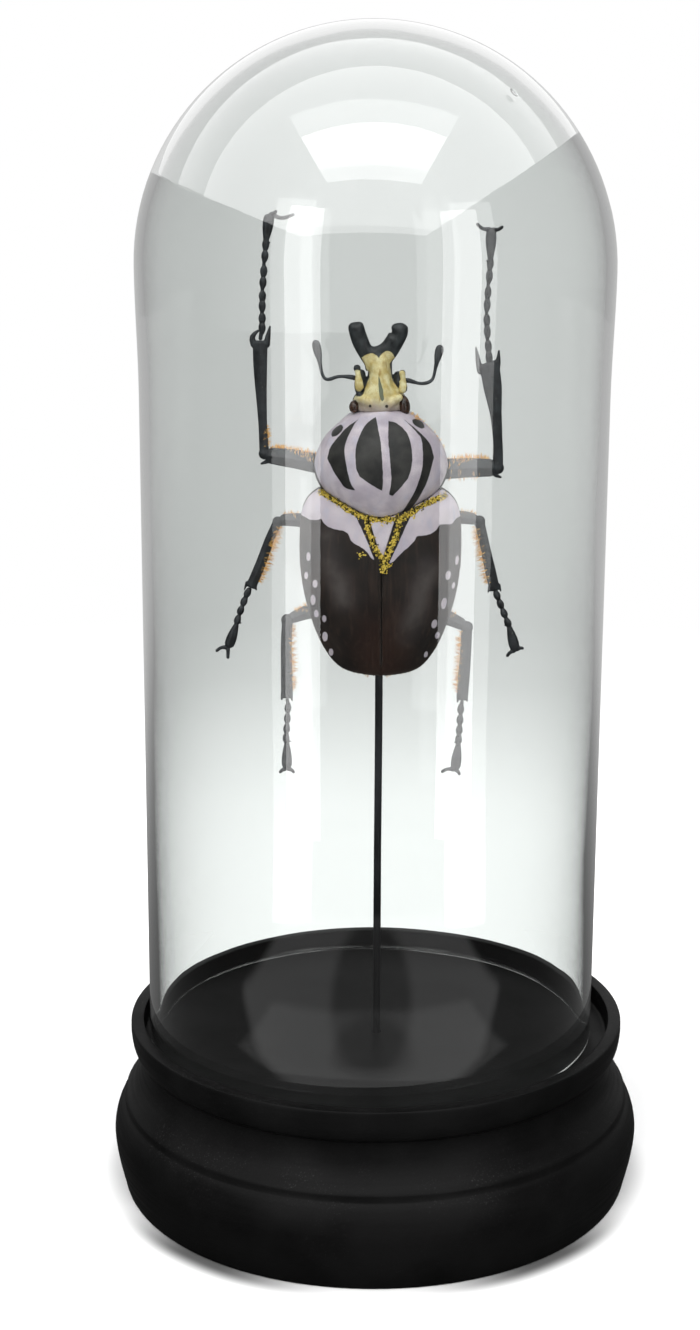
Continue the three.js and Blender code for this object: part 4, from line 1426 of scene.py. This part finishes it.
def make_foot(name, leg, bead):
    parts = list(string_beads(leg, bead))
    base, foot = leg["claw_base"], leg["foot"]
    tip = (base[0] - math.copysign(1.3, foot[0]), base[1] + 0.1)
    parts += [
        stalk("ankle", [leg["shin"][-1], leg["beads"][0]], (0.55, 0.5), (0.5, 0.5), rings=4),
        stalk("sinew", leg["beads"], (0.48,), (0.42,), sides=10, rings=12),
        stalk("claw_joint", [base, foot], (0.6, 1, 1.35, 1.45, 1.2), (0.5, 0.8, 1, 1, 0.8)),
        stalk("spine", [base, tip], (0.3, 0.16), sides=8, rings=3),
    ]
    parts += [bent_claw(base, foot, claw) for claw in leg["claws"]]
    return fuse(join("foot_" + name, parts), FOOT_VOXEL, 2)


def make_legs():
    bead = make_bead()
    for name, leg in LEGS.items():
        PIECES["femur_" + name] = make_thigh(name, leg)
        PIECES["tibia_" + name] = make_shin(name, leg)
        PIECES["tarsus_" + name] = make_foot(name, leg, bead)
        for part in ("femur_", "tibia_", "tarsus_"):
            hand_in(PIECES[part + name], LEG_BLACK, "blue_black_shell", part + name)
    bpy.data.objects.remove(bead)


make_legs()

# ---- hair, seam dust and the bubble in the glass ---------------------------

# Each fringe: the piece it grows on, where it starts and ends as (x, height), which way it stands,
# how many hairs, their full length, and the range along Y of their roots.
FRINGES = (
    ("tibia_middle_left", (-27.2, 178.2), (-33.4, 163), (0.93, -0.38), 240, 2.2, (3, 5.2)),
    ("tibia_middle_right", (25.9, 178.6), (30, 163.4), (-0.97, -0.24), 230, 2.1, (3, 5.2)),
    ("tibia_hind_left", (-24.4, 151.4), (-24.7, 133.5), (1, 0), 220, 1.8, (3, 5.2)),
    ("tibia_hind_right", (23, 150.4), (22.3, 133.5), (-1, 0), 220, 1.8, (3, 5.2)),
    ("femur_middle_left", (-25.5, 180), (-21, 179.6), (-0.2, 1), 30, 1.1, (3.6, 5.4)),
    ("femur_middle_right", (19, 180), (25, 180.2), (0.1, 1), 34, 1.1, (3.6, 5.4)),
    ("femur_hind_left", (-22.5, 153.6), (-15, 156), (-0.1, 1), 90, 1.4, (3.6, 5.4)),
    ("femur_hind_right", (14, 155), (20, 153), (0.1, 1), 50, 1.2, (3.6, 5.4)),
    ("femur_front_left", (-29, 196.5), (-16.5, 194), (0.1, 1), 210, 1.3, (3.6, 5.4)),
    ("femur_front_right", (16.5, 192.6), (28, 193.4), (0.1, 1), 150, 1.6, (3.6, 5.4)),
    ("femur_front_right", (17, 192), (26, 193), (-0.1, -1), 30, 1.3, (3, 6)),
    ("tibia_front_left", (-30.4, 198.6), (-30.7, 204), (1, 0.1), 70, 1.2, (3, 5)),
    ("prothorax", (9.5, 206), (16, 198.5), (0.78, 0.62), 30, 0.7, (-5, -1)),
    ("prothorax", (7.4, 208.4), (9.8, 206.4), (0.55, 0.83), 26, 1.1, (-7, -4)),
    ("abdomen", (-7, 145), (8, 145), (0.02, -1), 40, 0.8, (-5, 2)),
)
BELLY_HAIR = ((-12, 12), (141, 186), 420, 1.5)  # x and height ranges, number of hairs, full length
HAIR_THICK = 0.16
HAIR_GLOW = 0.17  # how brightly the hairs glow in their own colour: painted light, standing in for the light that comes through the thin hairs
# A hair's rings, as how far up, how far it has curved over and how thick.
HAIR_RINGS = ((0.3, 0.01, 0.9), (0.6, 0.07, 0.7), (0.85, 0.17, 0.42), (1.0, 0.26, 0.1))
DUST_PER_MM = 17
DUST_SPREAD = 0.42
DUST_SIZES = (0.13, 0.36)
# Loose dust beside the seams: middle, spread and number of grains.
DUST_LUMPS = (
    ((1, 170.6), 0.55, 70), ((1, 169.2), 0.4, 30), ((-4.4, 173.4), 0.5, 12), ((-5.1, 172.6), 0.35, 5),
    ((2.2, 170.7), 0.5, 9),
)


def strew(name, pattern, places):
    """One piece made of many copies of a small shape, each put in its place in mm by a matrix."""
    shape = points_of(pattern)
    corners = [tuple(face.vertices) for face in pattern.data.polygons]
    bpy.data.objects.remove(pattern)
    turned = [shape @ np.array(place)[:3, :3].T + np.array(place)[:3, 3] for place in places]
    mesh = bpy.data.meshes.new(name)
    faces = [tuple(c + k * len(shape) for c in face) for k in range(len(places)) for face in corners]
    mesh.from_pydata((np.vstack(turned) * MM).tolist(), [], faces)
    piece = bpy.data.objects.new(name, mesh)
    bpy.context.scene.collection.objects.link(piece)
    tints = np.array([CHANCE.random() for _ in places])
    store(piece, "tint", np.repeat(tints, len(shape)))
    return piece


def skin_of(*pieces):
    """The surface of some pieces, to look up places on it."""
    points, faces = [], []
    for piece in pieces:
        first = len(points)
        points += [vertex.co.copy() for vertex in piece.data.vertices]
        faces += [[first + corner for corner in face.vertices] for face in piece.data.polygons]
    return BVHTree.FromPolygons(points, faces)


def touch(skin, start, heading):
    """Where a straight line from a place in mm meets the skin, and how the skin faces there."""
    spot, facing, _, _ = skin.ray_cast(mm(*start), Vector(heading).normalized())
    return (spot / MM, facing) if spot else (None, None)


def standing(root, heading, thick, tall):
    """The matrix that stands a shape at a root, along a heading, turned any way round."""
    spin = Matrix.Rotation(CHANCE.uniform(0, 2 * math.pi), 4, "Z")
    turn = Vector(heading).to_track_quat("Z", "X").to_matrix().to_4x4()
    return Matrix.Translation(root) @ turn @ spin @ Matrix.Diagonal((thick, thick, tall, 1))


def make_hair():
    """One curved hair, 1 mm long, standing on the origin."""
    hair = disc("hair", 3, 0.5)
    was = (0, 0, 1)
    for up, over, thick in HAIR_RINGS:
        push(mm(over - was[1], 0, up - was[0]))
        shrink = thick / was[2]
        bpy.ops.transform.resize(value=(shrink,) * 3, center_override=mm(over, 0, up))
        was = (up, over, thick)
    close_mesh()
    return hair


def hair_finish():
    finish = Finish("golden hair", Sheen_Weight=0.3, Emission_Strength=HAIR_GLOW)
    finish.set(Sheen_Tint=(1.0, 0.75, 0.4, 1))
    streaks = finish.noise(0.7, 2)
    finish.colour = finish.blend(finish.attribute("tint"), tone(252, 202, 92), tone(204, 126, 38))
    finish.paint(finish.spread(streaks, 0.4, 0.7, 0, 0.5), tone(255, 220, 150))
    rough = finish.spread(streaks, 0.3, 0.7, 0.38, 0.55)
    # The hairs glow in their own colour: painted light for the light that shines through them.
    finish.set(Base_Color=finish.colour, Emission_Color=finish.colour, Roughness=rough)
    return finish.material


def make_fringe(node, start, end, out, count, length, depths):
    skin = skin_of(PIECES[node])
    places = []
    for _ in range(count):
        t = CHANCE.random()
        x, z = (a + t * (b - a) for a, b in zip(start, end))
        above = (x + 9 * out[0], CHANCE.uniform(*depths), z + 9 * out[1])
        root, _ = touch(skin, above, (-out[0], 0, -out[1]))
        if root is None:
            continue
        lean = CHANCE.gauss(0, 0.35)
        heading = (out[0] - lean * out[1], CHANCE.gauss(0, 0.45), out[1] + lean * out[0])
        tall = length * CHANCE.uniform(0.25, 1.1) * min(1, 0.55 + 4 * t, 0.55 + 4 * (1 - t))
        places.append(standing(root, heading, HAIR_THICK, tall))
    return places


def make_belly_hair():
    sides, heights, count, length = BELLY_HAIR
    skin = skin_of(PIECES["hind_thorax"], PIECES["abdomen"])
    places = []
    for _ in range(count):
        root, facing = touch(skin, (CHANCE.uniform(*sides), 40, CHANCE.uniform(*heights)), (0, -1, 0))
        if root is None:
            continue
        heading = facing + Vector((CHANCE.gauss(0, 0.3), 0, -1.1))
        places.append(standing(root, heading, HAIR_THICK, length * CHANCE.uniform(0.5, 1)))
    return places


def dust_finish():
    """Mustard-yellow crumbs, some of them olive or nearly black."""
    finish = Finish("yellow seam dust", Specular_IOR_Level=0.1)
    tint = finish.attribute("tint")
    finish.colour = finish.blend(finish.spread(tint, 0.3, 0.7), tone(250, 222, 104), tone(214, 186, 72))
    finish.paint(finish.spread(tint, 0.66, 0.7), tone(132, 122, 56))
    finish.paint(finish.spread(tint, 0.8, 0.84), tone(34, 32, 18))
    grain = finish.noise(0.2)
    finish.paint(finish.spread(grain, 0.5, 0.75, 0, 0.6), tone(120, 98, 26))
    return finish.done(0.95, grain, 0.06, 0.8)


def make_seam_dust():
    trunk = ("prothorax", "elytron_left", "elytron_right", "scutellum", "hind_thorax")
    skin = skin_of(*(PIECES[node] for node in trunk))
    spots = []
    for seam in SEAMS:
        line = curve(seam, 10)
        for here, there in zip(line[:-1], line[1:]):
            for _ in range(int(DUST_PER_MM * math.dist(here, there) + CHANCE.random())):
                t = CHANCE.random()
                spots.append([a + t * (b - a) + CHANCE.gauss(0, DUST_SPREAD) for a, b in zip(here, there)])
    for middle, reach, count in DUST_LUMPS:
        spots += [[CHANCE.gauss(m, reach) for m in middle] for _ in range(count)]
    places = []
    for x, z in spots:
        root, facing = touch(skin, (x, -40, z), (0, 1, 0))
        if root is None:
            continue
        size = CHANCE.uniform(*DUST_SIZES) * CHANCE.uniform(0.7, 1)
        places.append(standing(root + facing * (0.25 * size), facing, size, 0.7 * size))
    choose()
    bpy.ops.mesh.primitive_ico_sphere_add(subdivisions=1, radius=MM)
    return strew("seam_dust", settle("crumb"), places)


BUBBLE_PLACE = (30.3, -31.0, 284.6)
BUBBLE_HALVES = (1.0, 0.35, 1.25)


def make_bubble():
    """The small blister that the glass maker left in the dome's shoulder."""
    blister = oval("blister", (0, 0, 0), BUBBLE_HALVES, detail=(24, 16))
    out = Vector(BUBBLE_PLACE) - Vector((DOME["shift"], 0, DOME["shoulder"]))
    turn = (-out).to_track_quat("Y", "Z").to_matrix().to_4x4()
    blister.matrix_world = Matrix.Translation(mm(*BUBBLE_PLACE)) @ turn
    choose(blister)
    return settle("blister")


gold = hair_finish()
for number, fringe in enumerate(FRINGES, 1):
    hairs = strew(f"hairs_{number}", make_hair(), make_fringe(*fringe))
    hand_in(hairs, gold, "pale_shell" if fringe[0] == "prothorax" else "blue_black_shell")
hand_in(strew("hairs_belly", make_hair(), make_belly_hair()), gold, "blue_black_shell")
hand_in(make_seam_dust(), dust_finish(), "brown_shell")
hand_in(make_bubble(), bpy.data.materials["clear glass"], "clear_glass")
